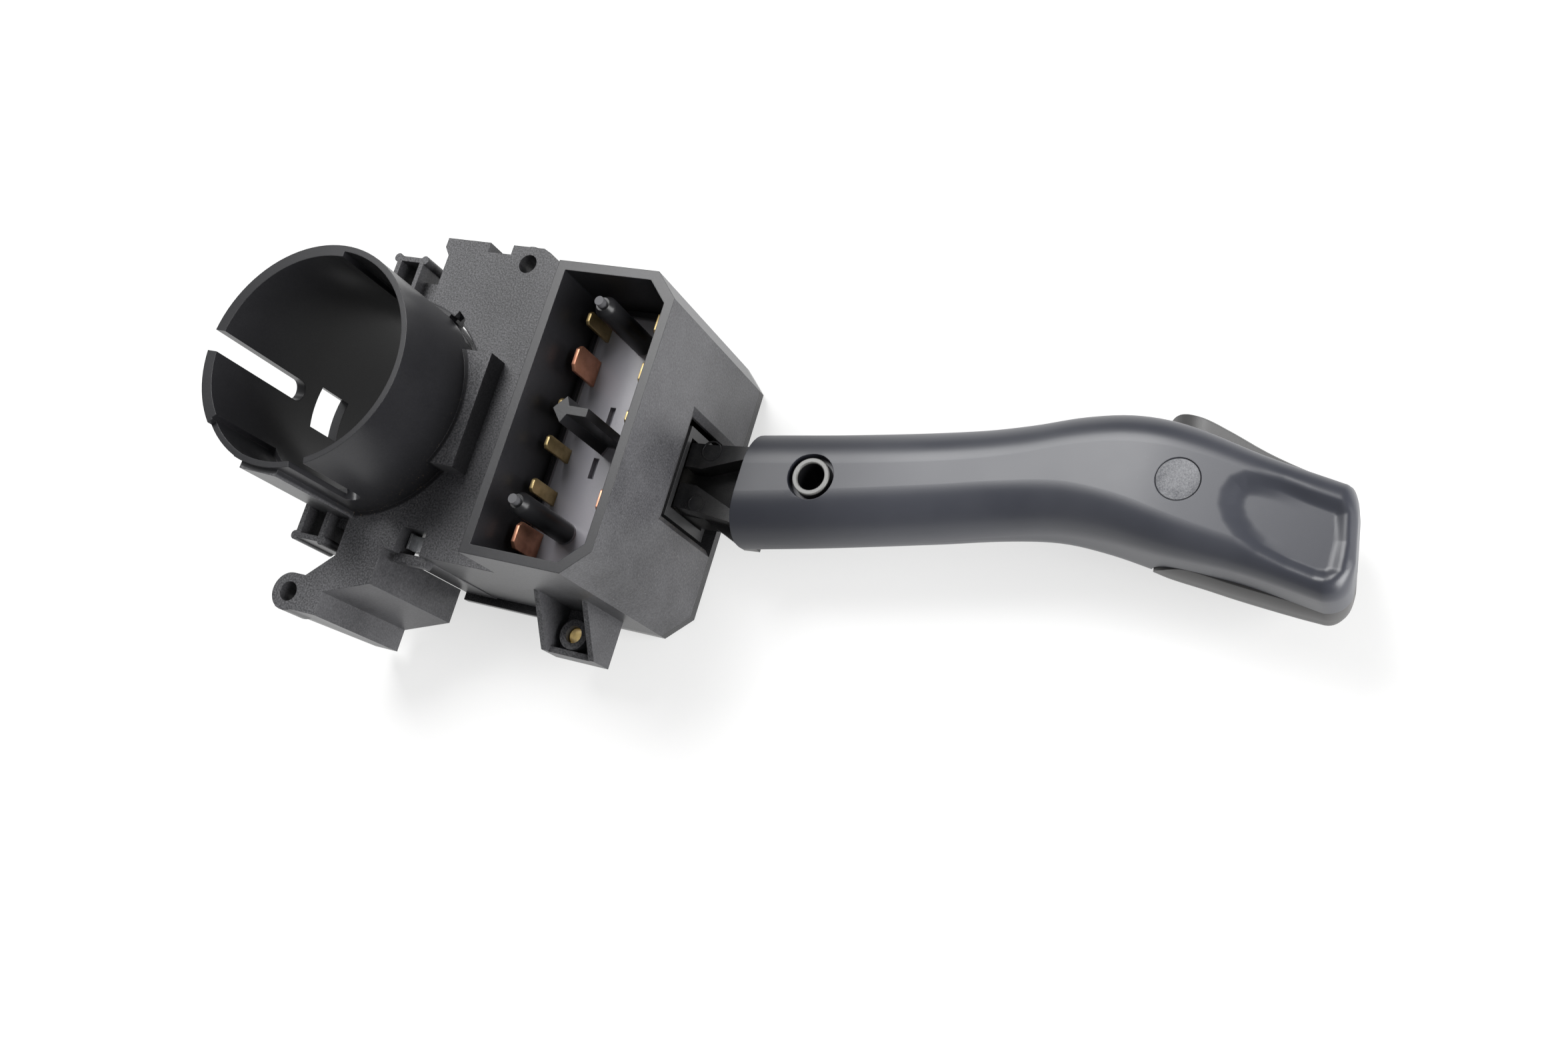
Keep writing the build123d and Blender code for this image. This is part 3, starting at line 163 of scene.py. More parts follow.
class NodeMaker:
    """Makes the nodes of one material."""

    EDGE_SAMPLES = 4

    def __init__(self, name: str) -> None:
        """Start an empty material with one shader.

        Args:
            name: the material's name.
        """
        self.material = bpy.data.materials.new(name)
        self.material.use_nodes = True
        self.tree = self.material.node_tree
        self.tree.nodes.clear()
        self.output = self.tree.nodes.new("ShaderNodeOutputMaterial")
        self.shader = self.tree.nodes.new("ShaderNodeBsdfPrincipled")
        self.tree.links.new(self.shader.outputs[0], self.output.inputs["Surface"])

    def node(self, kind: str, settings: dict[str, Any], inputs: dict[Any, Any],
             output: Any = 0) -> Sock:
        """Add a node, set it up and return one of its outputs.

        Args:
            kind: the node's type.
            settings: the node's own properties, set first.
            inputs: socket name or number to a value, colour or link.
            output: name or number of the output to return.

        Returns:
            The wrapped output socket.
        """
        made = self.tree.nodes.new(kind)
        for key, value in settings.items():
            setattr(made, key, value)
        for key, value in inputs.items():
            self.plug(made.inputs[key], value)
        return Sock(self, made.outputs[output])

    def plug(self, socket: bpy.types.NodeSocket, value: Any) -> None:
        """Link or set one input socket.

        Args:
            socket: the input socket.
            value: a number, colour, vector or link.
        """
        if isinstance(value, Sock):
            self.tree.links.new(value.socket, socket)
        elif hasattr(value, "__len__") and len(value) == 3 and socket.type == "RGBA":
            socket.default_value = (*value, 1.0)
        else:
            socket.default_value = value

    def set(self, **values: Any) -> None:
        """Set shader sockets, with underscores for the spaces in their names."""
        for key, value in values.items():
            self.plug(self.shader.inputs[key.replace("_", " ")], value)

    def body(self) -> Sock:
        """Return the main shader."""
        return Sock(self, self.shader.outputs[0])

    def show(self, shader: Sock) -> None:
        """Send a shader to the material's surface."""
        self.plug(self.output.inputs["Surface"], shader)

    def place(self) -> Sock:
        """Return the object coordinates.

        Returns:
            The coordinates in millimetres.
        """
        coordinates = self.node("ShaderNodeTexCoord", {}, {}, "Object")
        return self.node("ShaderNodeVectorMath", {"operation": "SCALE"},
                         {0: coordinates, "Scale": 1.0 / MM})

    def axis(self, place: Sock, name: str) -> Sock:
        """Return one coordinate of a vector."""
        return self.node("ShaderNodeSeparateXYZ", {}, {0: place}, name)

    def facing(self, name: str) -> Sock:
        """Return one component of the surface's own normal."""
        normal = self.node("ShaderNodeNewGeometry", {}, {}, "Normal")
        return self.axis(normal, name)

    def noise(self, place: Sock, speckle: Speckle) -> Sock:
        """Return fractal noise.

        Args:
            place: coordinates in millimetres.
            speckle: the noise's sizes.

        Returns:
            The noise value, about 0.5 on average.
        """
        spot = self.node("ShaderNodeMapping", {}, {"Vector": place, "Scale": speckle.stretch})
        return self.node("ShaderNodeTexNoise", {},
                         {"Vector": spot, "Scale": speckle.scale, "Detail": speckle.octaves,
                          "Roughness": speckle.finer})

    def mix(self, factor: Any, first: Any, second: Any) -> Sock:
        """Return a colour between two others."""
        return self.node("ShaderNodeMix", {"data_type": "RGBA"}, {0: factor, 6: first, 7: second}, 2)

    def bump(self, height: Sock, relief: Relief) -> Sock:
        """Return a normal from a height map over softly rounded edges.

        Args:
            height: height in 0 to 1.
            relief: how deep the bump is and how soft the edges look.

        Returns:
            The normal.
        """
        inputs = {"Height": height, "Distance": relief.depth * MM, "Strength": relief.strength}
        if relief.edge:
            inputs["Normal"] = self.node("ShaderNodeBevel", {"samples": self.EDGE_SAMPLES},
                                         {"Radius": relief.edge * MM})
        return self.node("ShaderNodeBump", {}, inputs)


# Finishes

@dataclass(frozen=True)
class SocketWell:
    """The plug socket's inner walls, with the spans over which their mask fades."""

    middle: Point = (53.0, 1.0)
    across: Span = (12.6, 12.4)
    along: Span = (28.6, 28.4)
    roof: Span = (16.6, 16.2)
    floor: Span = (-5.0, -4.5)
    inward: Span = (0.5, -0.5)

    def mask(self, make: NodeMaker, x: Sock, y: Sock, z: Sock) -> Sock:
        """Return the mask of the walls' inner faces.

        Args:
            make: the material's node maker.
            x: place along X in millimetres.
            y: place along Y in millimetres.
            z: height in millimetres.

        Returns:
            1 on the inner faces and 0 elsewhere.
        """
        off_x, off_y = x - self.middle[0], y - self.middle[1]
        outward = off_x * make.facing("X") + off_y * make.facing("Y")
        return (off_x.absolute().ramp(*self.across) * off_y.absolute().ramp(*self.along)
                * z.ramp(*self.roof) * z.ramp(*self.floor) * outward.ramp(*self.inward))


@dataclass(frozen=True)
class Grit:
    """Grit at the tube's root and around the lever window, with the spans over which it fades."""

    specks: Speckle = Speckle(2.6, 4.0, 0.72)
    crumbs: Speckle = Speckle(1.1, 2.0, 0.6)
    root_radius: Span = (27.5, 23.5)
    root_side: Span = (8.0, 30.0)
    root_roof: Span = (9.0, 2.0)
    root_floor: Span = (-2.0, 0.0)
    root_specks: Span = (0.63, 0.68)
    root_share: float = 0.7
    window_x: Span = (65.0, 66.0)
    window_y: float = -6.0
    window_reach: Span = (17.0, 6.0)
    window_z: Span = (-3.0, -9.0)
    window_facing: Span = (1.1, 0.4)
    window_specks: Span = (0.54, 0.62)
    window_crumbs: Span = (0.38, 0.58)

    def mask(self, make: NodeMaker, place: Sock, x: Sock, y: Sock, z: Sock,
             radius: Sock) -> Sock:
        """Return the mask of the grit.

        Args:
            make: the material's node maker.
            place: coordinates in millimetres.
            x: place along X in millimetres.
            y: place along Y in millimetres.
            z: height in millimetres.
            radius: distance from the tube's axis in millimetres.

        Returns:
            1 on a crumb and 0 beside it.
        """
        specks = make.noise(place, self.specks)
        crumbs = make.noise(place, self.crumbs)
        root = (radius.ramp(*self.root_radius) * (x - y).ramp(*self.root_side)
                * z.ramp(*self.root_roof) * z.ramp(*self.root_floor))
        window = (x.ramp(*self.window_x) * (y - self.window_y).absolute().ramp(*self.window_reach)
                  * z.ramp(*self.window_z) * make.facing("X").ramp(*self.window_facing))
        return (root * specks.ramp(*self.root_specks) * self.root_share
                + window * specks.ramp(*self.window_specks)
                * crumbs.ramp(*self.window_crumbs)).clamp()


@dataclass(frozen=True)
class GrainedNylon:
    """Black glass-filled nylon: spark-grained on the deck, smoother on the tube and walls."""

    name: str = "grained_nylon"
    dark: Triple = (0.022, 0.022, 0.024)
    light: Triple = (0.125, 0.124, 0.131)
    tube: Triple = (0.009, 0.009, 0.0105)
    dust: Triple = (0.26, 0.20, 0.12)
    tube_radius: Span = (24.1, 23.6)
    up_facing: Span = (0.55, 0.85)
    rim_x: Span = (30.0, 31.0)
    rim_z: Span = (10.0, 11.0)
    well: SocketWell = SocketWell()
    grit: Grit = Grit()
    grain: Speckle = Speckle(2.6, 3.0, 0.62)
    fine: Speckle = Speckle(7.0)
    cloud: Speckle = Speckle(0.05, 3.0, 0.55)
    speck: Speckle = Speckle(1.9, 3.0, 0.75)
    speck_step: Span = (0.63, 0.70)
    lift: float = 0.28
    lift_cloud: float = 0.9
    lift_deck: float = 0.06
    lift_grain: float = 0.9
    lift_deck_grain: float = 1.5
    lift_speck: float = 0.40
    tube_share: float = 0.86
    roughness: float = 0.37
    rough_deck: float = 0.07
    rough_cloud: float = 0.10
    rough_smooth: float = 0.04
    height: float = 0.30
    height_grain: float = 0.7
    height_fine: float = 0.3
    height_deck: float = 0.70
    height_smooth: float = 0.2
    specular: float = 0.35
    relief: Relief = Relief(0.10, 0.9, 0.20)

    def build(self) -> bpy.types.Material:
        """Build the finish.

        Returns:
            Its material.
        """
        make = NodeMaker(self.name)
        place = make.place()
        x, y, z = (make.axis(place, name) for name in "XYZ")
        radius = ((x ** 2.0) + (y ** 2.0)) ** 0.5
        tube = radius.ramp(*self.tube_radius)
        well = self.well.mask(make, x, y, z)
        up = make.facing("Z").ramp(*self.up_facing)
        rim = up * x.ramp(*self.rim_x) * z.ramp(*self.rim_z)
        smooth = (tube + well + rim).clamp()
        grain = make.noise(place, self.grain)
        fine = make.noise(place, self.fine)
        cloud = make.noise(place, self.cloud)
        speck = make.noise(place, self.speck).ramp(*self.speck_step)
        deck = up * (1.0 - smooth)
        lift = (self.lift + cloud.centred() * self.lift_cloud + deck * self.lift_deck
                + grain.centred() * (self.lift_grain + deck * self.lift_deck_grain)
                + speck * self.lift_speck).clamp()
        colour = make.mix(lift, self.dark, self.light)
        colour = make.mix(smooth * self.tube_share, colour, self.tube)
        colour = make.mix(self.grit.mask(make, place, x, y, z, radius), colour, self.dust)
        rough = (self.roughness + deck * self.rough_deck + cloud.centred() * self.rough_cloud
                 - smooth * self.rough_smooth)
        height = ((grain * self.height_grain + fine * self.height_fine)
                  * (self.height + deck * self.height_deck - smooth * self.height_smooth))
        make.set(Base_Color=colour, Roughness=rough, Specular_IOR_Level=self.specular,
                 Normal=make.bump(height, self.relief))
        return make.material


@dataclass(frozen=True)
class SoftLacquer:
    """The lever's satin soft-touch finish, with painted shade that darkens it towards the case."""

    name: str = "soft_lacquer"
    base: Triple = (0.027, 0.029, 0.038)
    worn: Triple = (0.048, 0.050, 0.060)
    roughness: float = 0.36
    relief: Relief = Relief(0.012, 0.5, 0.18)
    # painted shade near the case, where the housing keeps light off the stem: its colour, its span
    # along X and its share
    root: Triple = (0.010, 0.011, 0.016)
    painted_shade_x: Span = (116.0, 84.0)
    root_share: float = 0.75
    cloud: Speckle = Speckle(0.05, 3.0, 0.55)
    cloud_step: Span = (0.35, 0.75)
    cloud_share: float = 0.5
    fine: Speckle = Speckle(7.0)
    specks: Speckle = Speckle(1.6, 3.0, 0.7)
    specks_step: Span = (0.70, 0.745)
    specks_share: float = 0.6
    rough_cloud: float = 0.12
    rough_fine: float = 0.05
    rough_root: float = 0.10

    def build(self) -> bpy.types.Material:
        """Build the finish.

        Returns:
            Its material.
        """
        make = NodeMaker(self.name)
        place = make.place()
        cloud = make.noise(place, self.cloud)
        fine = make.noise(place, self.fine)
        specks = make.noise(place, self.specks).ramp(*self.specks_step)
        wear = cloud.ramp(*self.cloud_step) * self.cloud_share + specks * self.specks_share
        colour = make.mix(wear.clamp(), self.base, self.worn)
        # painted shade: the stem is darkened towards the case
        painted_shade = make.axis(place, "X").ramp(*self.painted_shade_x)
        colour = make.mix(painted_shade * self.root_share, colour, self.root)
        rough = (self.roughness + cloud.centred() * self.rough_cloud
                 + fine.centred() * self.rough_fine + painted_shade * self.rough_root)
        make.set(Base_Color=colour, Roughness=rough, Normal=make.bump(fine, self.relief))
        return make.material


@dataclass(frozen=True)
class SmoothPlastic:
    """A smooth moulded plastic with faint clouding and scuffs, and painted shade below a height."""

    name: str
    base: Triple
    light: Triple
    roughness: float = 0.34
    relief: Relief = Relief(0.006, 0.6, 0.15)
    grain: Speckle = Speckle(4.0, 3.0, 0.6)
    grain_share: float = 1.4
    cloud: Speckle = Speckle(0.12, 3.0, 0.6)
    cloud_step: Span = (0.35, 0.7)
    cloud_share: float = 0.6
    scuff: Speckle = Speckle(1.4, 3.0, 0.65, (0.25, 2.2, 1.0))
    scuff_step: Span = (0.58, 0.75)
    scuff_share: float = 0.3
    rough_cloud: float = 0.16
    rough_scuff: float = 0.08
    # painted shade: the colour below a height, such as the shade in the screw bush's bore
    painted_shade_colour: Triple = (0.008, 0.008, 0.009)
    painted_shade_z: Span = (-99.0, -99.3)

    def build(self) -> bpy.types.Material:
        """Build the finish.

        Returns:
            Its material.
        """
        make = NodeMaker(self.name)
        place = make.place()
        cloud = make.noise(place, self.cloud)
        scuff = make.noise(place, self.scuff).ramp(*self.scuff_step)
        grain = make.noise(place, self.grain)
        lift = (cloud.ramp(*self.cloud_step) * self.cloud_share + scuff * self.scuff_share
                + grain.centred() * self.grain_share)
        colour = make.mix(lift.clamp(), self.base, self.light)
        # painted shade below a height
        colour = make.mix(make.axis(place, "Z").ramp(*self.painted_shade_z), colour, self.painted_shade_colour)
        rough = self.roughness + cloud.centred() * self.rough_cloud + scuff * self.rough_scuff
        make.set(Base_Color=colour, Roughness=rough, Normal=make.bump(grain, self.relief))
        return make.material


@dataclass(frozen=True)
class SocketNylon:
    """The terminal carrier's plastic: a pale glossy floor, lightened with painted light against the
    socket's shade, and black pins with lighter tips.
    """

    name: str = "socket_floor_nylon"
    # the floor's pale grey is made lighter, as painted light against the shade of the deep socket
    floor: Triple = (0.235, 0.232, 0.255)
    pin: Triple = (0.010, 0.010, 0.011)
    tip: Triple = (0.070, 0.070, 0.075)
    pin_z: Span = (-3.7, -3.3)
    tip_z: Span = (14.5, 15.0)
    cloud: Speckle = Speckle(0.12, 3.0, 0.6)
    grain: Speckle = Speckle(2.4, 3.0, 0.6)
    roughness: float = 0.22
    rough_cloud: float = 0.12
    rough_pins: float = 0.10
    rough_tips: float = 0.2
    specular: float = 0.3
    relief: Relief = Relief(0.015, 0.6, 0.15)

    def build(self) -> bpy.types.Material:
        """Build the finish.

        Returns:
            Its material.
        """
        make = NodeMaker(self.name)
        place = make.place()
        z = make.axis(place, "Z")
        cloud = make.noise(place, self.cloud)
        grain = make.noise(place, self.grain)
        pins, tips = z.ramp(*self.pin_z), z.ramp(*self.tip_z)
        colour = make.mix(tips, make.mix(pins, self.floor, self.pin), self.tip)
        rough = (self.roughness + cloud.centred() * self.rough_cloud + pins * self.rough_pins
                 + tips * self.rough_tips)
        make.set(Base_Color=colour, Roughness=rough, Specular_IOR_Level=self.specular,
                 Normal=make.bump(grain, self.relief))
        return make.material


@dataclass(frozen=True)
class StampedMetal:
    """Stamped sheet metal with drawn lines and a tarnished skin."""

    name: str
    bright: Triple
    tarnish: Triple
    roughness: float = 0.32
    cloud: Speckle = Speckle(0.3, 3.0, 0.55)
    stain_step: Span = (0.35, 0.75)
    lines: Speckle = Speckle(9.0, 2.0, 0.5, (1.0, 1.0, 0.08))
    rough_stain: float = 0.18
    rough_lines: float = 0.12
    relief: Relief = Relief(0.01, 0.5, 0.08)

    def build(self) -> bpy.types.Material:
        """Build the finish.

        Returns:
            Its material.
        """
        make = NodeMaker(self.name)
        place = make.place()
        stain = make.noise(place, self.cloud).ramp(*self.stain_step)
        lines = make.noise(place, self.lines)
        rough = self.roughness + stain * self.rough_stain + lines.centred() * self.rough_lines
        make.set(Base_Color=make.mix(stain, self.bright, self.tarnish), Metallic=1.0,
                 Roughness=rough, Normal=make.bump(lines, self.relief))
        return make.material


@dataclass(frozen=True)
class Paper:
    """The pale ground, which keeps the object's shadow."""

    name: str = "pale_ground"
    colour: Triple = (0.94, 0.94, 0.935)
    white: Triple = (1.0, 1.0, 0.995)
    glow: float = 0.58
    roughness: float = 0.85
    fibre: Speckle = Speckle(0.5, 4.0, 0.6, (0.3, 1.0, 1.0))
    relief: Relief = Relief(0.12, 0.25)

    def build(self) -> bpy.types.Material:
        """Build the finish.

        Returns:
            Its material.
        """
        make = NodeMaker(self.name)
        fibre = make.noise(make.place(), self.fibre)
        make.set(Base_Color=self.colour, Roughness=self.roughness,
                 Normal=make.bump(fibre, self.relief))
        rays = [make.node("ShaderNodeLightPath", {}, {}, name)
                for name in ("Is Camera Ray", "Is Glossy Ray", "Is Transmission Ray")]
        seen = (rays[0] + rays[1] + rays[2]).clamp() * self.glow
        white = make.node("ShaderNodeEmission", {}, {"Color": self.white, "Strength": 1.0})
        make.show(make.node("ShaderNodeMixShader", {}, {0: seen, 1: make.body(), 2: white}))
        return make.material


class Finish(Enum):
    """Every finish of the object."""

    HOUSING = GrainedNylon()
    COVER = SmoothPlastic("cover_nylon", (0.014, 0.014, 0.015), (0.030, 0.030, 0.032), 0.26)
    CARRIER = SocketNylon()
    YOKE = SmoothPlastic("yoke_nylon", (0.020, 0.020, 0.021), (0.035, 0.035, 0.036), 0.36)
    ROOT = SmoothPlastic("lever_root_nylon", (0.010, 0.010, 0.011), (0.034, 0.033, 0.032), 0.30)
    ACETAL = SmoothPlastic("natural_acetal", (0.52, 0.50, 0.45), (0.60, 0.58, 0.53), 0.32)
    LEVER = SoftLacquer()
    # the humped back shell: a rougher lacquer whose lighter colour is painted light for its lit side
    LEVER_BACK_PAINTED_LIGHT = SoftLacquer("soft_lacquer_back_painted_light", (0.050, 0.049, 0.049), (0.072, 0.071, 0.070),
                             0.44, Relief(0.03, 0.5, 0.18))
    DISC = SmoothPlastic("grained_disc", (0.040, 0.042, 0.050), (0.230, 0.232, 0.242), 0.48,
                         Relief(0.12, 0.6, 0.05), Speckle(4.2, 3.0, 0.6))
    # the screw bush, with painted shade in its bore below a height just under its top
    BUSH = SmoothPlastic("screw_bush", (0.11, 0.11, 0.105), (0.15, 0.15, 0.14), 0.38,
                         painted_shade_z=(-8.2, -8.5))
    BRASS = StampedMetal("stamped_brass", (0.62, 0.48, 0.24), (0.42, 0.32, 0.15), 0.40)
    COPPER = StampedMetal("stamped_copper", (0.90, 0.46, 0.30), (0.66, 0.32, 0.21), 0.42)
    INSERT = StampedMetal("turned_brass", (0.46, 0.34, 0.13), (0.24, 0.17, 0.06), 0.30)
    STEEL = StampedMetal("ground_steel", (0.55, 0.56, 0.57), (0.38, 0.38, 0.39), 0.26)
    ZINC = StampedMetal("zinc_plated_steel", (0.60, 0.60, 0.57), (0.46, 0.45, 0.42), 0.34)


class Wardrobe:
    """Builds each finish once."""

    def __init__(self) -> None:
        """Start with nothing built."""
        self.made: dict[str, bpy.types.Material] = {}

    def get(self, finish: Finish) -> bpy.types.Material:
        """Return the material of a finish, building it on first use.

        Args:
            finish: the finish.

        Returns:
            Its material.
        """
        if finish.name not in self.made:
            self.made[finish.name] = finish.value.build()
        return self.made[finish.name]

    def dress(self, piece: bpy.types.Object, finish: Finish) -> None:
        """Give a piece one finish all over."""
        piece.data.materials.clear()
        piece.data.materials.append(self.get(finish))


# Pieces

def new_piece(name: str, shape: bmesh.types.BMesh) -> bpy.types.Object:
    """Make an object from a bmesh and link it.

    Args:
        name: the object's name.
        shape: the finished bmesh, which is freed.

    Returns:
        The new object.
    """
    mesh = bpy.data.meshes.new(name)
    shape.to_mesh(mesh)
    shape.free()
    piece = bpy.data.objects.new(name, mesh)
    bpy.context.scene.collection.objects.link(piece)
    return piece


def shade_by_angle(piece: bpy.types.Object, degrees: float) -> None:
    """Shade a piece smooth, apart from edges sharper than an angle.

    Args:
        piece: the piece.
        degrees: the angle between two faces from which their edge is sharp.
    """
    limit = math.radians(degrees)
    shape = bmesh.new()
    shape.from_mesh(piece.data)
    for face in shape.faces:
        face.smooth = True
    for edge in shape.edges:
        edge.smooth = len(edge.link_faces) == 2 and edge.calc_face_angle(0.0) < limit
    shape.to_mesh(piece.data)
    shape.free()


def apply_modifiers(piece: bpy.types.Object) -> None:
    """Replace a piece's mesh by its evaluated one and drop its modifiers.

    Args:
        piece: the piece.
    """
    bpy.context.view_layer.update()
    graph = bpy.context.evaluated_depsgraph_get()
    mesh = bpy.data.meshes.new_from_object(piece.evaluated_get(graph))
    piece.modifiers.clear()
    piece.data = mesh


@dataclass(frozen=True)
class Detail:
    """A piece made here, which rides on a body and may stand for a CAD node."""

    name: str
    body: str
    slot: str
    finish: Finish
    node: str = ""
    shade_angle: float = 38.0

    def settle(self, piece: bpy.types.Object, wardrobe: Wardrobe) -> bpy.types.Object:
        """Dress a piece and tie it to its body.

        Args:
            piece: the piece with its final mesh.
            wardrobe: where the finish comes from.

        Returns:
            The same piece.
        """
        wardrobe.dress(piece, self.finish)
        shade_by_angle(piece, self.shade_angle)
        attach(piece, self.body)
        if self.node:
            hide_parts(self.node)
        LOG.info("%s: %d faces", piece.name, len(piece.data.polygons))
        return piece

    def build(self, shape: bmesh.types.BMesh, wardrobe: Wardrobe) -> bpy.types.Object:
        """Return the dressed piece of a form, which is freed."""
        return self.settle(new_piece(self.name, shape), wardrobe)


@dataclass(frozen=True)
class Moulding:
    """A CAD node shown as a merged copy, with bevelled edges where edge is above 0."""

    node: str
    body: str
    slot: str
    finish: Finish
    edge: float = 0.0
    edge_angle: float = 32.0
    flat_angle: float = 0.4
    shade_angle: float = 40.0

    def build(self, wardrobe: Wardrobe) -> bpy.types.Object:
        """Return the piece, riding on its body.

        Args:
            wardrobe: where the finish comes from.

        Returns:
            The piece that stands for the node.
        """
        shape = bmesh.new()
        shape.from_mesh(frame["nodes"][self.node].data)
        bmesh.ops.remove_doubles(shape, verts=shape.verts, dist=MERGE_DISTANCE)
        if self.edge:
            bmesh.ops.dissolve_limit(shape, angle_limit=math.radians(self.flat_angle),
                                     verts=shape.verts, edges=shape.edges)
        detail = Detail(self.node + "_moulding", self.body, self.slot, self.finish, self.node,
                        self.shade_angle)
        piece = new_piece(detail.name, shape)
        if self.edge:
            self._soften(piece)
        return detail.settle(piece, wardrobe)

    def _soften(self, piece: bpy.types.Object) -> None:
        """Round a piece's edges by a small bevel.

        Args:
            piece: the piece.
        """
        bevel = piece.modifiers.new("edge", "BEVEL")
        bevel.width = self.edge * MM
        bevel.segments = EDGE_SEGMENTS
        bevel.limit_method = "ANGLE"
        bevel.angle_limit = math.radians(self.edge_angle)
        bevel.use_clamp_overlap = True
        bevel.miter_outer = "MITER_ARC"
        apply_modifiers(piece)


def turn(spot: Point, profile: Outline, base: float = 0.0) -> bmesh.types.BMesh:
    """Return a turned form about an upright axis.

    Args:
        spot: the axis in plan, in millimetres.
        profile: radius and height in millimetres, in order along the section.
        base: height in millimetres from which the profile's heights count.

    Returns:
        The closed form; a profile that starts off the axis is closed to its own start.
    """
    shape = bmesh.new()
    verts = [shape.verts.new(Vector((spot[0] + r, spot[1], z + base)) * MM) for r, z in profile]
    edges = [shape.edges.new(pair) for pair in zip(verts, verts[1:])]
    if profile[0][0] > 0:
        edges.append(shape.edges.new((verts[-1], verts[0])))
    bmesh.ops.spin(shape, geom=verts + edges, cent=Vector((*spot, 0.0)) * MM, axis=(0, 0, 1),
                   angle=math.tau, steps=TURN_STEPS, use_merge=True)
    bmesh.ops.remove_doubles(shape, verts=shape.verts, dist=MERGE_DISTANCE)
    bmesh.ops.recalc_face_normals(shape, faces=shape.faces)
    return shape


def prism(outline: Outline, span: Span, edge: float) -> bmesh.types.BMesh:
    """Return a prism along X with rounded edges.

    Args:
        outline: Y and Z of its corners in millimetres.
        span: X of its ends in millimetres.
        edge: radius of its edges in millimetres.

    Returns:
        The closed form.
    """
    start, end = span
    shape = bmesh.new()
    face = shape.faces.new([shape.verts.new(Vector((start, y, z)) * MM) for y, z in outline])
    made = bmesh.ops.extrude_face_region(shape, geom=[face])["geom"]
    bmesh.ops.translate(shape, vec=((end - start) * MM, 0.0, 0.0),
                        verts=[part for part in made if isinstance(part, bmesh.types.BMVert)])
    bmesh.ops.recalc_face_normals(shape, faces=shape.faces)
    bmesh.ops.bevel(shape, geom=shape.edges[:], offset=edge * MM, affect="EDGES",
                    segments=EDGE_SEGMENTS, profile=0.5, material=-1)
    return shape


@dataclass(frozen=True)
class Strip:
    """A strip along X under the deck."""

    detail: Detail
    outline: Outline
    span: Span
    edge: float = 0.15

    def build(self, wardrobe: Wardrobe) -> bpy.types.Object:
        """Return the dressed strip."""
        return self.detail.build(prism(self.outline, self.span, self.edge), wardrobe)


@dataclass(frozen=True)
class Inlay:
    """A turned piece let into the lever's front, with the recess that takes it."""

    detail: Detail
    spot: Point
    front_z: float
    profile: Outline
    recess: Outline
    sink: float = 0.1

    def cutter(self) -> bpy.types.Object:
        """Return the object that cuts the recess."""
        return new_piece(self.detail.name + "_recess", turn(self.spot, self.recess, self.front_z))

    def build(self, wardrobe: Wardrobe) -> bpy.types.Object:
        """Return the dressed piece, sunk a little under the lever's front."""
        return self.detail.build(turn(self.spot, self.profile, self.front_z - self.sink), wardrobe)


# Lever

def along(points: Outline, x: float) -> float:
    """Return the value at x of the smooth curve through points.

    Args:
        points: pairs of x and value, in rising x.
        x: where to read the curve; it is held within the points.

    Returns:
        The value, from a cubic between the two points around x.
    """
    last = len(points) - 2
    index = max(i for i in range(last + 1) if i == 0 or points[i][0] <= x)
    (x0, y0), (x1, y1) = points[index], points[index + 1]
    before, after = points[max(index - 1, 0)], points[min(index + 2, last + 1)]
    slope0 = (y1 - before[1]) / (x1 - before[0])
    slope1 = (after[1] - y0) / (after[0] - x0)
    span = x1 - x0
    t = min(max((x - x0) / span, 0.0), 1.0)
    return (y0 * (1 + 2 * t) * (1 - t) ** 2 + slope0 * span * t * (1 - t) ** 2
            + y1 * t * t * (3 - 2 * t) + slope1 * span * t * t * (t - 1))


def step(value: float) -> float:
    """Return the smooth step of a value held between 0 and 1."""
    value = min(max(value, 0.0), 1.0)
    return value * value * (3 - 2 * value)


@dataclass(frozen=True)
class FingerDish:
    """The shallow scoop in the front of the paddle."""

    rim: Outline = (
        (172.5, 16.0), (169.6, 15.8), (167.3, 14.3), (166.2, 11.6), (166.4, 8.8), (167.8, 6.0),
        (170.2, 3.6), (173.6, 1.5), (178.6, -0.1), (183.4, -1.2), (186.2, -0.9), (187.8, 1.2),
        (187.9, 6.6), (187.0, 11.6), (185.6, 13.2), (180.5, 14.3), (176.0, 15.6))
    depth: float = 1.1
    soft_lip: float = 4.4
    sharp_lip: float = 2.6
    soft_x: float = 168.0
    sharp_x: float = 180.0
    start_x: float = 160.0
    lowest_z: float = -9.5

    def drop(self, x: float, y: float) -> float:
        """Return how far the surface lies below the paddle's front.

        Args:
            x: place along X in millimetres.
            y: place along Y in millimetres.

        Returns:
            The depth in millimetres, 0 outside the rim.
        """
        inside = False
        nearest = math.inf
        for (x0, y0), (x1, y1) in zip(self.rim, self.rim[1:] + self.rim[:1]):
            if (y0 > y) != (y1 > y) and x < x0 + (y - y0) / (y1 - y0) * (x1 - x0):
                inside = not inside
            dx, dy = x1 - x0, y1 - y0
            t = min(max(((x - x0) * dx + (y - y0) * dy) / (dx * dx + dy * dy), 0.0), 1.0)
            nearest = min(nearest, math.hypot(x - x0 - t * dx, y - y0 - t * dy))
        if not inside:
            return 0.0
        crisp = step((x - self.soft_x) / (self.sharp_x - self.soft_x))
        soft_drop = step(nearest / self.soft_lip)
        crisp_drop = step(nearest / self.sharp_lip)
        return self.depth * (soft_drop + (crisp_drop - soft_drop) * crisp)

    def press(self, shape: bmesh.types.BMesh) -> None:
        """Press the scoop into the front of a form.

        Args:
            shape: the form.
        """
        for vert in shape.verts:
            if vert.co.z > self.lowest_z * MM and vert.co.x > self.start_x * MM:
                vert.co.z -= self.drop(vert.co.x / MM, vert.co.y / MM) * MM


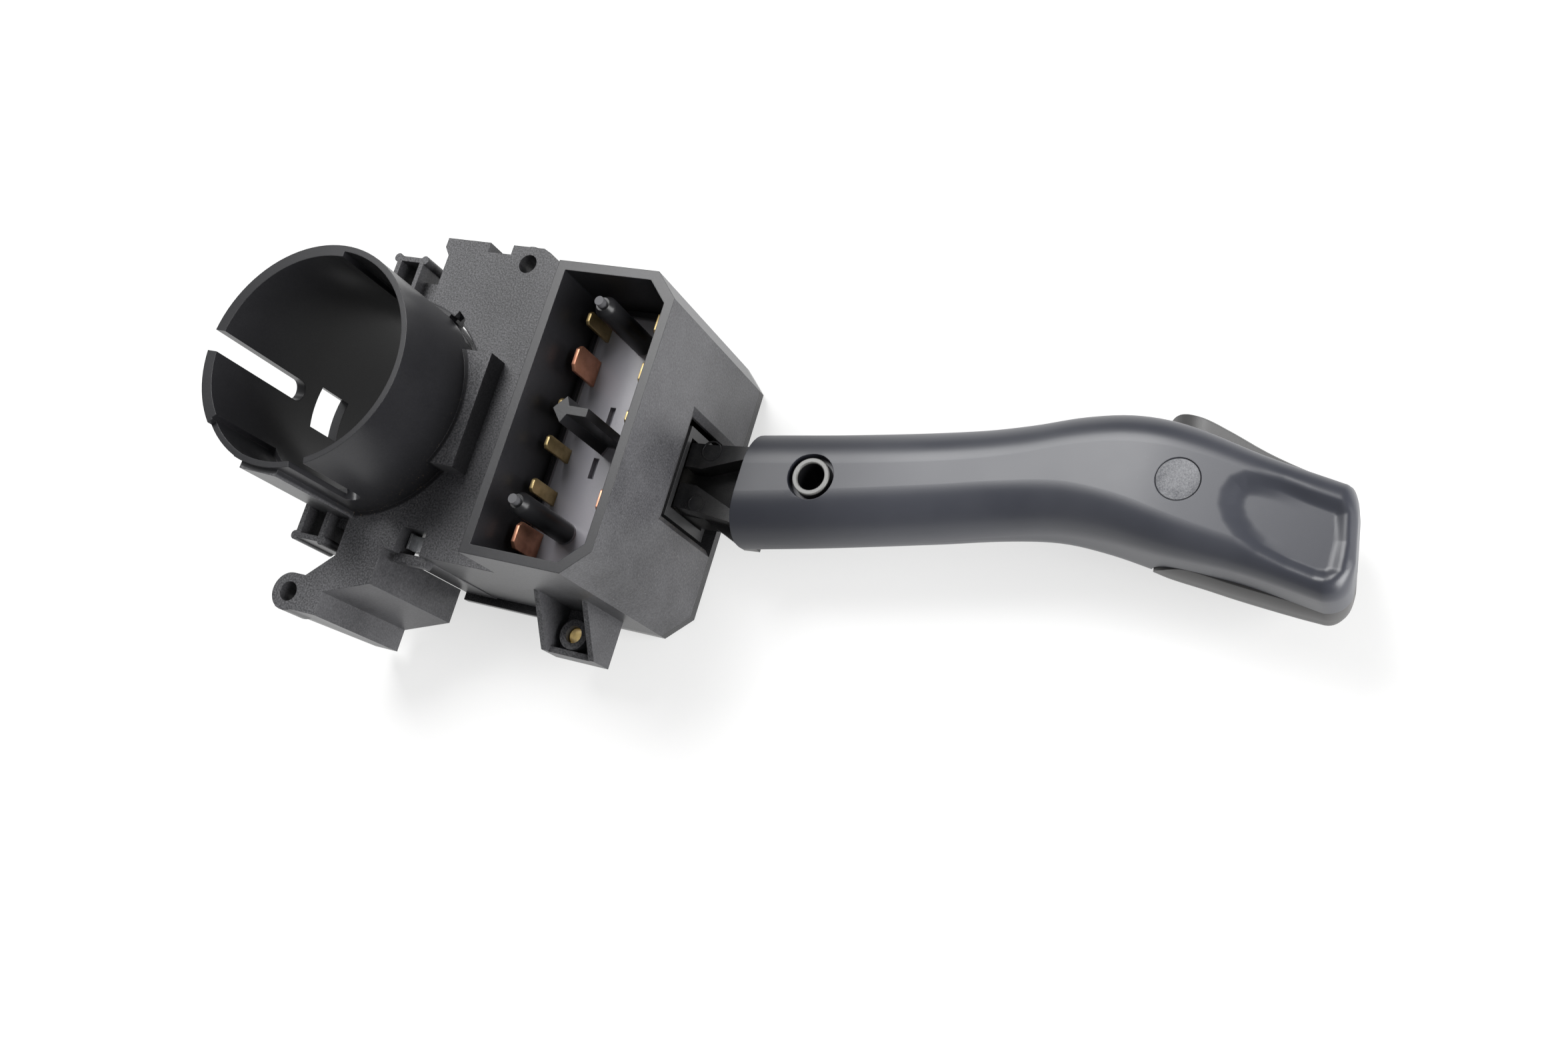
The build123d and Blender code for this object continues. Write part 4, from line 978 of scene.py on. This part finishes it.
@dataclass
class HandleForm:
    """A long moulded form with rounded sections, given by its edges along X in millimetres."""

    low: Outline
    high: Outline
    back: Outline
    front: Outline
    corner: Outline
    start: float
    full: float
    end: float = 189.1
    end_round: float = 4.0
    end_edge: float = 0.6
    end_slope: float = 0.13
    end_slope_y: float = 3.6
    coarse: float = 1.6
    fine: float = 0.3
    fine_from: float = 163.0
    end_steps: int = 12
    end_caps: tuple[float, ...] = (0.66, 0.33, 0.04)
    corner_steps: int = 9
    flat_steps: tuple[int, ...] = (78, 6, 14, 6)
    sides: Outline = ((1, 1), (-1, 1), (-1, -1), (1, -1))
    widest_corner: float = 0.98
    slack: float = 1e-6

    def spokes(self) -> list[Triple]:
        """Return the places round a section.

        Returns:
            For each place its sides along Y and Z and its angle in degrees.
        """
        ring: list[Triple] = []
        turned = 90.0 / self.corner_steps
        for index, flat in enumerate(self.flat_steps):
            y, z = self.sides[index]
            next_y, next_z = self.sides[(index + 1) % len(self.sides)]
            for number in range(self.corner_steps):
                ring.append((y, z, 90 * index + turned * number))
            for number in range(flat):
                t = number / flat
                ring.append((y + (next_y - y) * t, z + (next_z - z) * t, 90.0 * (index + 1)))
        return ring

    def steps(self) -> list[Triple]:
        """Return the stations along the form.

        Returns:
            For each station its X, the angle round the end and the scale towards the middle.
        """
        places: list[Triple] = []
        x = self.start
        while x < self.full - self.slack:
            places.append((x, 0.0, 1.0))
            x += self.fine if x >= self.fine_from else self.coarse
        for number in range(self.end_steps + 1):
            places.append((self.full, 90.0 * number / self.end_steps, 1.0))
        return places + [(self.full, 90.0, scale) for scale in self.end_caps]

    def spot(self, place: Triple, spoke: Triple) -> Vector:
        """Return one point of the surface.

        Args:
            place: the station, as steps gives it.
            spoke: the place round the section, as spokes gives it.

        Returns:
            The point in millimetres.
        """
        x, bend, scale = place
        side_y, side_z, angle = spoke
        shrink = self.end_round * (1 - math.cos(math.radians(bend)))
        low, high = along(self.low, x) + shrink, along(self.high, x) - shrink
        back = along(self.back, x) + shrink * self.end_edge
        front = along(self.front, x) - shrink * self.end_edge
        half_y, half_z = (high - low) / 2 * scale, (front - back) / 2 * scale
        radius = min(along(self.corner, x) * scale, half_y * self.widest_corner,
                     half_z * self.widest_corner)
        y = (high + low) / 2 + side_y * (half_y - radius) + radius * math.cos(math.radians(angle))
        z = (front + back) / 2 + side_z * (half_z - radius) + radius * math.sin(math.radians(angle))
        tip = self.end - self.end_slope * max(y - self.end_slope_y, 0.0)
        return Vector((x + (tip - x) * math.sin(math.radians(bend)), y, z))

    def build(self) -> bmesh.types.BMesh:
        """Build the form from a grid that is wrapped round it.

        Returns:
            The closed form.
        """
        ring, places = self.spokes(), self.steps()
        shape = bmesh.new()
        bmesh.ops.create_grid(shape, x_segments=len(places) - 1, y_segments=len(ring), size=0.5)
        for vert in shape.verts:
            column = round((vert.co.x + 0.5) * (len(places) - 1))
            row = round((vert.co.y + 0.5) * len(ring)) % len(ring)
            vert.co = self.spot(places[column], ring[row]) * MM
        bmesh.ops.remove_doubles(shape, verts=shape.verts, dist=MERGE_DISTANCE)
        bmesh.ops.holes_fill(shape, edges=[e for e in shape.edges if e.is_boundary], sides=0)
        bmesh.ops.recalc_face_normals(shape, faces=shape.faces)
        return shape


@dataclass(frozen=True)
class Lever:
    """The lever: a stem that bends into a paddle, with a humped shell behind the paddle."""

    stem_x: float = 79.4
    full_x: float = 185.0
    parting_x: float = 155.4
    parting_z: float = -15.6
    parting_radius: float = 7.6
    parting_gap: float = 0.3
    parting_slant: float = 0.107
    cutter_x: float = 205.0
    cutter_y: Span = (-40.0, 60.0)
    cutter_z: float = -60.0
    cutter_steps: int = 20
    dish: FingerDish = FingerDish()
    bush: Inlay = Inlay(
        Detail("screw_bush_ring", "lever", "bush_plastic", Finish.BUSH, "lever_bush"),
        (93.6, 2.9), -7.75,
        ((0.0, -9.2), (2.65, -9.2), (2.65, -0.15), (2.8, 0.0), (3.45, 0.0), (3.6, -0.15),
         (3.6, -10.6), (0.0, -10.6)),
        ((0.0, -13.0), (3.65, -13.0), (3.65, -2.4), (4.4, -2.4), (4.4, -0.5), (4.5, -0.2),
         (4.7, 2.0), (0.0, 2.0)))
    disc: Inlay = Inlay(
        Detail("blanking_disc", "lever", "disc_plastic", Finish.DISC, "lever_disc"),
        (159.3, 12.3), -5.0,
        ((0.0, -1.2), (3.72, -1.2), (3.72, -0.12), (3.6, 0.0), (0.0, 0.0)),
        ((0.0, -1.4), (3.78, -1.4), (3.78, -0.2), (3.84, -0.05), (3.86, 2.0), (0.0, 2.0)))
    front: Detail = Detail("lever_front_shell", "lever", "lever_soft_finish", Finish.LEVER,
                           "lever_shell")
    hump: Detail = Detail("lever_hump_shell", "lever", "lever_soft_finish", Finish.LEVER_BACK_PAINTED_LIGHT,
                          "lever_back_shell")
    front_low: Outline = (
        (79.4, -10.7), (97.0, -7.2), (117.0, -2.8), (129.0, 0.1), (139.0, 1.8), (148.0, 1.6),
        (158.0, 0.3), (172.0, -0.9), (185.0, -3.2))
    front_high: Outline = (
        (79.4, 11.4), (97.0, 14.25), (121.0, 18.7), (131.0, 21.1), (140.0, 23.55), (149.0, 24.7),
        (158.0, 23.8), (172.0, 19.8), (185.0, 16.9))
    back_side: Outline = ((79.4, -25.25), (130.0, -25.25), (156.0, -26.9), (185.0, -27.5))
    front_side: Outline = (
        (79.4, -7.75), (125.0, -7.75), (152.0, -5.3), (162.0, -5.0), (185.0, -5.0))
    front_corner: Outline = (
        (79.4, 8.2), (120.0, 8.0), (150.0, 6.8), (168.0, 4.8), (185.0, 3.8))
    hump_x: float = 149.0
    hump_low: Outline = (
        (149.0, 1.4), (154.4, 0.5), (158.6, -0.4), (165.0, -1.2), (170.0, -1.9), (176.0, -2.6),
        (181.0, -3.1), (185.0, -3.4))
    hump_high: Outline = (
        (149.0, 27.3), (152.0, 28.0), (155.5, 28.7), (159.0, 28.4), (164.0, 26.6), (171.0, 23.7),
        (178.0, 21.5), (185.0, 19.9))
    hump_corner: Outline = ((149.0, 6.2), (185.0, 6.2))
    hump_end: float = 188.7
    hump_edge: float = 0.9
    hump_step: float = 0.9
    hump_overlap: float = 3.0

    def build(self, wardrobe: Wardrobe) -> None:
        """Build the shells of the lever, its screw bush and its disc.

        Args:
            wardrobe: where the finishes come from.
        """
        self._build_front(wardrobe)
        self._build_hump(wardrobe)
        self.bush.build(wardrobe)
        self.disc.build(wardrobe)

    def _behind(self, gap: float) -> bpy.types.Object:
        """Return the cutter that fills the space behind the parting line.

        Args:
            gap: how far it reaches past the line, in millimetres.

        Returns:
            The cutter, with a rounded front corner.
        """
        shape = bmesh.new()
        bmesh.ops.create_cube(shape, size=1.0)
        left, high = self.parting_x - gap, self.parting_z + gap
        for vert in shape.verts:
            y = self.cutter_y[0] if vert.co.y < 0 else self.cutter_y[1]
            x = left - self.parting_slant * y if vert.co.x < 0 else self.cutter_x
            vert.co = Vector((x, y, self.cutter_z if vert.co.z < 0 else high)) * MM
        middle = (left + self.cutter_x) / 2 * MM
        corner = [edge for edge in shape.edges
                  if all(v.co.x < middle and v.co.z > high * MM - MERGE_DISTANCE
                         for v in edge.verts)]
        bmesh.ops.bevel(shape, geom=corner, offset=(self.parting_radius + gap) * MM, affect="EDGES",
                        segments=self.cutter_steps, profile=0.5, material=-1)
        return new_piece("parting_cutter", shape)

    def _carve(self, piece: bpy.types.Object, operation: str, cutter: bpy.types.Object) -> None:
        """Cut a piece with a cutter, which is removed.

        Args:
            piece: the piece to cut.
            operation: DIFFERENCE to take the cutter away, INTERSECT to keep what it covers.
            cutter: the cutter.
        """
        carve = piece.modifiers.new("carve", "BOOLEAN")
        carve.operation = operation
        carve.solver = "EXACT"
        carve.object = cutter
        apply_modifiers(piece)
        bpy.data.objects.remove(cutter)

    def _build_front(self, wardrobe: Wardrobe) -> None:
        """Build the stem and the front of the paddle.

        Args:
            wardrobe: where the finishes come from.
        """
        form = HandleForm(self.front_low, self.front_high, self.back_side, self.front_side,
                          self.front_corner, self.stem_x, self.full_x)
        shape = form.build()
        self.dish.press(shape)
        piece = new_piece(self.front.name, shape)
        for cutter in (self._behind(self.parting_gap), self.bush.cutter(), self.disc.cutter()):
            self._carve(piece, "DIFFERENCE", cutter)
        self.front.settle(piece, wardrobe)

    def _build_hump(self, wardrobe: Wardrobe) -> None:
        """Build the humped shell behind the paddle.

        Args:
            wardrobe: where the finishes come from.
        """
        top = self.parting_z + self.hump_overlap
        form = HandleForm(self.hump_low, self.hump_high, self.back_side,
                          ((self.hump_x, top), (self.full_x, top)), self.hump_corner,
                          self.hump_x, self.full_x, end=self.hump_end, coarse=self.hump_step,
                          end_edge=self.hump_edge)
        piece = new_piece(self.hump.name, form.build())
        self._carve(piece, "INTERSECT", self._behind(0.0))
        self.hump.settle(piece, wardrobe)


@dataclass(frozen=True)
class LeverRoot(Moulding):
    """The lever's root, with its end drawn inside the stem and with ejector rings."""

    inset: float = 1.2
    inset_z: Span = (-23.8, -9.2)
    inset_length: float = 3.0
    rings: tuple[tuple[Point, float], ...] = (((69.6, -4.6), 1.5), ((69.4, 6.2), 1.8))
    ring_z: Span = (-13.7, -13.28)
    ring_width: float = 0.25

    def build(self, wardrobe: Wardrobe) -> bpy.types.Object:
        """Return the root, narrowed where the stem covers it.

        Args:
            wardrobe: where the finish comes from.

        Returns:
            The piece that stands for the node.
        """
        piece = super().build(wardrobe)
        lever = Lever()
        for vert in piece.data.vertices:
            x = vert.co.x / MM
            if x > lever.stem_x - self.inset_length:
                floor = along(lever.front_low, x) + self.inset
                roof = along(lever.front_high, x) - self.inset
                vert.co.y = min(max(vert.co.y, floor * MM), roof * MM)
                vert.co.z = min(max(vert.co.z, self.inset_z[0] * MM), self.inset_z[1] * MM)
        return piece

    def build_rings(self, wardrobe: Wardrobe) -> None:
        """Add the ejector rings.

        Args:
            wardrobe: where the finish comes from.
        """
        low, high = self.ring_z
        for number, (spot, inner) in enumerate(self.rings, 1):
            outer = inner + self.ring_width
            ring = turn(spot, ((inner, low), (inner, high), (outer, high), (outer, low)))
            Detail(f"ejector_ring_{number}", self.body, self.slot, self.finish).build(
                ring, wardrobe)


# Studio

@dataclass(frozen=True)
class Lamp:
    """A square soft lamp, with place, edge length and aim in metres and power in watts."""

    name: str
    place: Triple
    size: float
    power: float
    aim: Triple = (0.08, 0.0, -0.01)

    def build(self) -> None:
        """Add the lamp."""
        light = bpy.data.lights.new(self.name, "AREA")
        light.shape = "SQUARE"
        light.size = self.size
        light.energy = self.power
        lamp = bpy.data.objects.new(self.name, light)
        beam = Vector(self.aim) - Vector(self.place)
        lamp.location = self.place
        lamp.rotation_euler = beam.to_track_quat("-Z", "Y").to_euler()
        bpy.context.scene.collection.objects.link(lamp)


@dataclass(frozen=True)
class Studio:
    """Camera, lamps, room and ground, with places in millimetres and the ground's in metres."""

    spot: Triple = (209.70, -72.01, 244.00)
    right: Triple = (0.8947, 0.2793, -0.3485)
    up: Triple = (-0.1664, 0.9326, 0.3203)
    back: Triple = (0.4145, -0.2286, 0.8809)
    lens: float = 35.96
    sensor: float = 36.0
    nearest: float = 0.01
    ground_place: Triple = (0.1, 0.0, -0.0334)
    ground_size: float = 3.0
    room: float = 0.36
    room_colour: Triple = (0.975, 0.985, 1.0)
    white: Triple = (1.0, 1.0, 1.0)
    lamps: tuple[Lamp, ...] = (Lamp("key", (-0.30, 0.50, 0.90), 0.60, 14.0),
                               Lamp("fill", (0.95, -0.10, 0.25), 0.60, 13.0))

    def camera(self) -> None:
        """Add the camera at the photograph's place."""
        lens = bpy.data.cameras.new("camera")
        lens.lens = self.lens
        lens.sensor_width = self.sensor
        lens.clip_start = self.nearest
        camera = bpy.data.objects.new("camera", lens)
        columns = Matrix((self.right, self.up, self.back)).transposed()
        turned = columns.to_quaternion().to_matrix().to_4x4()
        camera.matrix_world = Matrix.Translation(Vector(self.spot) * MM) @ turned
        bpy.context.scene.collection.objects.link(camera)
        bpy.context.scene.camera = camera

    def ground(self) -> None:
        """Lay the pale ground under the object."""
        shape = bmesh.new()
        bmesh.ops.create_grid(shape, x_segments=1, y_segments=1, size=self.ground_size)
        bmesh.ops.translate(shape, verts=shape.verts, vec=self.ground_place)
        floor = new_piece("ground", shape)
        floor.data.materials.append(Paper().build())

    def world(self) -> None:
        """Light the room: white to the camera, softer on the object."""
        world = bpy.data.worlds.new("room")
        bpy.context.scene.world = world
        world.use_nodes = True
        tree = world.node_tree
        tree.nodes.clear()
        path = tree.nodes.new("ShaderNodeLightPath")
        seen = tree.nodes.new("ShaderNodeMath")
        seen.operation = "MAXIMUM"
        tree.links.new(path.outputs["Is Camera Ray"], seen.inputs[0])
        tree.links.new(path.outputs["Is Transmission Ray"], seen.inputs[1])
        blend = tree.nodes.new("ShaderNodeMixShader")
        tree.links.new(seen.outputs[0], blend.inputs[0])
        looks = ((self.room_colour, self.room), (self.white, 1.0))
        for number, (colour, strength) in enumerate(looks, 1):
            backdrop = tree.nodes.new("ShaderNodeBackground")
            backdrop.inputs["Color"].default_value = (*colour, 1.0)
            backdrop.inputs["Strength"].default_value = strength
            tree.links.new(backdrop.outputs[0], blend.inputs[number])
        output = tree.nodes.new("ShaderNodeOutputWorld")
        tree.links.new(blend.outputs[0], output.inputs["Surface"])

    def build(self) -> None:
        """Set up camera, room, ground, lamps and colour handling."""
        self.camera()
        self.world()
        self.ground()
        for lamp in self.lamps:
            lamp.build()
        bpy.context.scene.view_settings.view_transform = "Standard"


@dataclass(frozen=True)
class StalkSwitch:
    """The whole object."""

    root: LeverRoot = LeverRoot("lever_core", "lever", "housing_nylon", Finish.ROOT)
    case: tuple[Moulding, ...] = (
        Moulding("housing", "column_module", "housing_nylon", Finish.HOUSING),
        Moulding("back_cover", "column_module", "cover_nylon", Finish.COVER),
        Moulding("terminal_carrier", "column_module", "carrier_plastic", Finish.CARRIER),
        Moulding("threaded_insert", "column_module", "brass", Finish.INSERT))
    yoke: Moulding = Moulding("turn_carrier", "turn_yoke", "carrier_nylon", Finish.YOKE)
    skirt: Strip = Strip(
        Detail("deck_skirt", "column_module", "housing_nylon", Finish.HOUSING),
        ((-30.3, -2.3), (-28.25, -2.3), (-28.25, -30.0), (-28.85, -30.0), (-28.85, -5.2),
         (-30.3, -4.4)), (14.8, 22.6))
    flange: Strip = Strip(
        Detail("cover_flange", "column_module", "cover_nylon", Finish.COVER),
        ((-28.3, -31.0), (-30.4, -31.0), (-30.4, -29.2), (-28.3, -29.2)), (14.6, 43.6))
    blade_edge: float = 0.1

    BY_SLOT = {
        "acetal": Finish.ACETAL, "brass": Finish.BRASS, "copper": Finish.COPPER,
        "spring_steel": Finish.STEEL, "steel": Finish.STEEL, "zinc_steel": Finish.ZINC,
        "housing_nylon": Finish.ROOT, "cover_nylon": Finish.COVER,
        "carrier_plastic": Finish.CARRIER, "carrier_nylon": Finish.YOKE,
        "lever_soft_finish": Finish.LEVER, "disc_plastic": Finish.DISC,
        "bush_plastic": Finish.BUSH,
    }

    def build(self, wardrobe: Wardrobe) -> None:
        """Dress every node, then add the mouldings, the details, the lever and the blades.

        Args:
            wardrobe: where the finishes come from.
        """
        slots = {part["node"]: part["material_slot"] for part in frame["record"]["subparts"]}
        for node, piece in frame["nodes"].items():
            wardrobe.dress(piece, self.BY_SLOT[slots[node]])
        for moulding in (*self.case, self.root, self.yoke, self.skirt, self.flange):
            moulding.build(wardrobe)
        self.root.build_rings(wardrobe)
        Lever().build(wardrobe)
        for node, slot in slots.items():
            if node.startswith("blade_"):
                Moulding(node, "column_module", slot, self.BY_SLOT[slot],
                         self.blade_edge).build(wardrobe)


def main() -> None:
    """Build the object and its studio."""
    logging.basicConfig(level=logging.INFO, format="%(message)s")
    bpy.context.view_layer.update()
    StalkSwitch().build(Wardrobe())
    Studio().build()


if __name__ == "__main__":
    main()
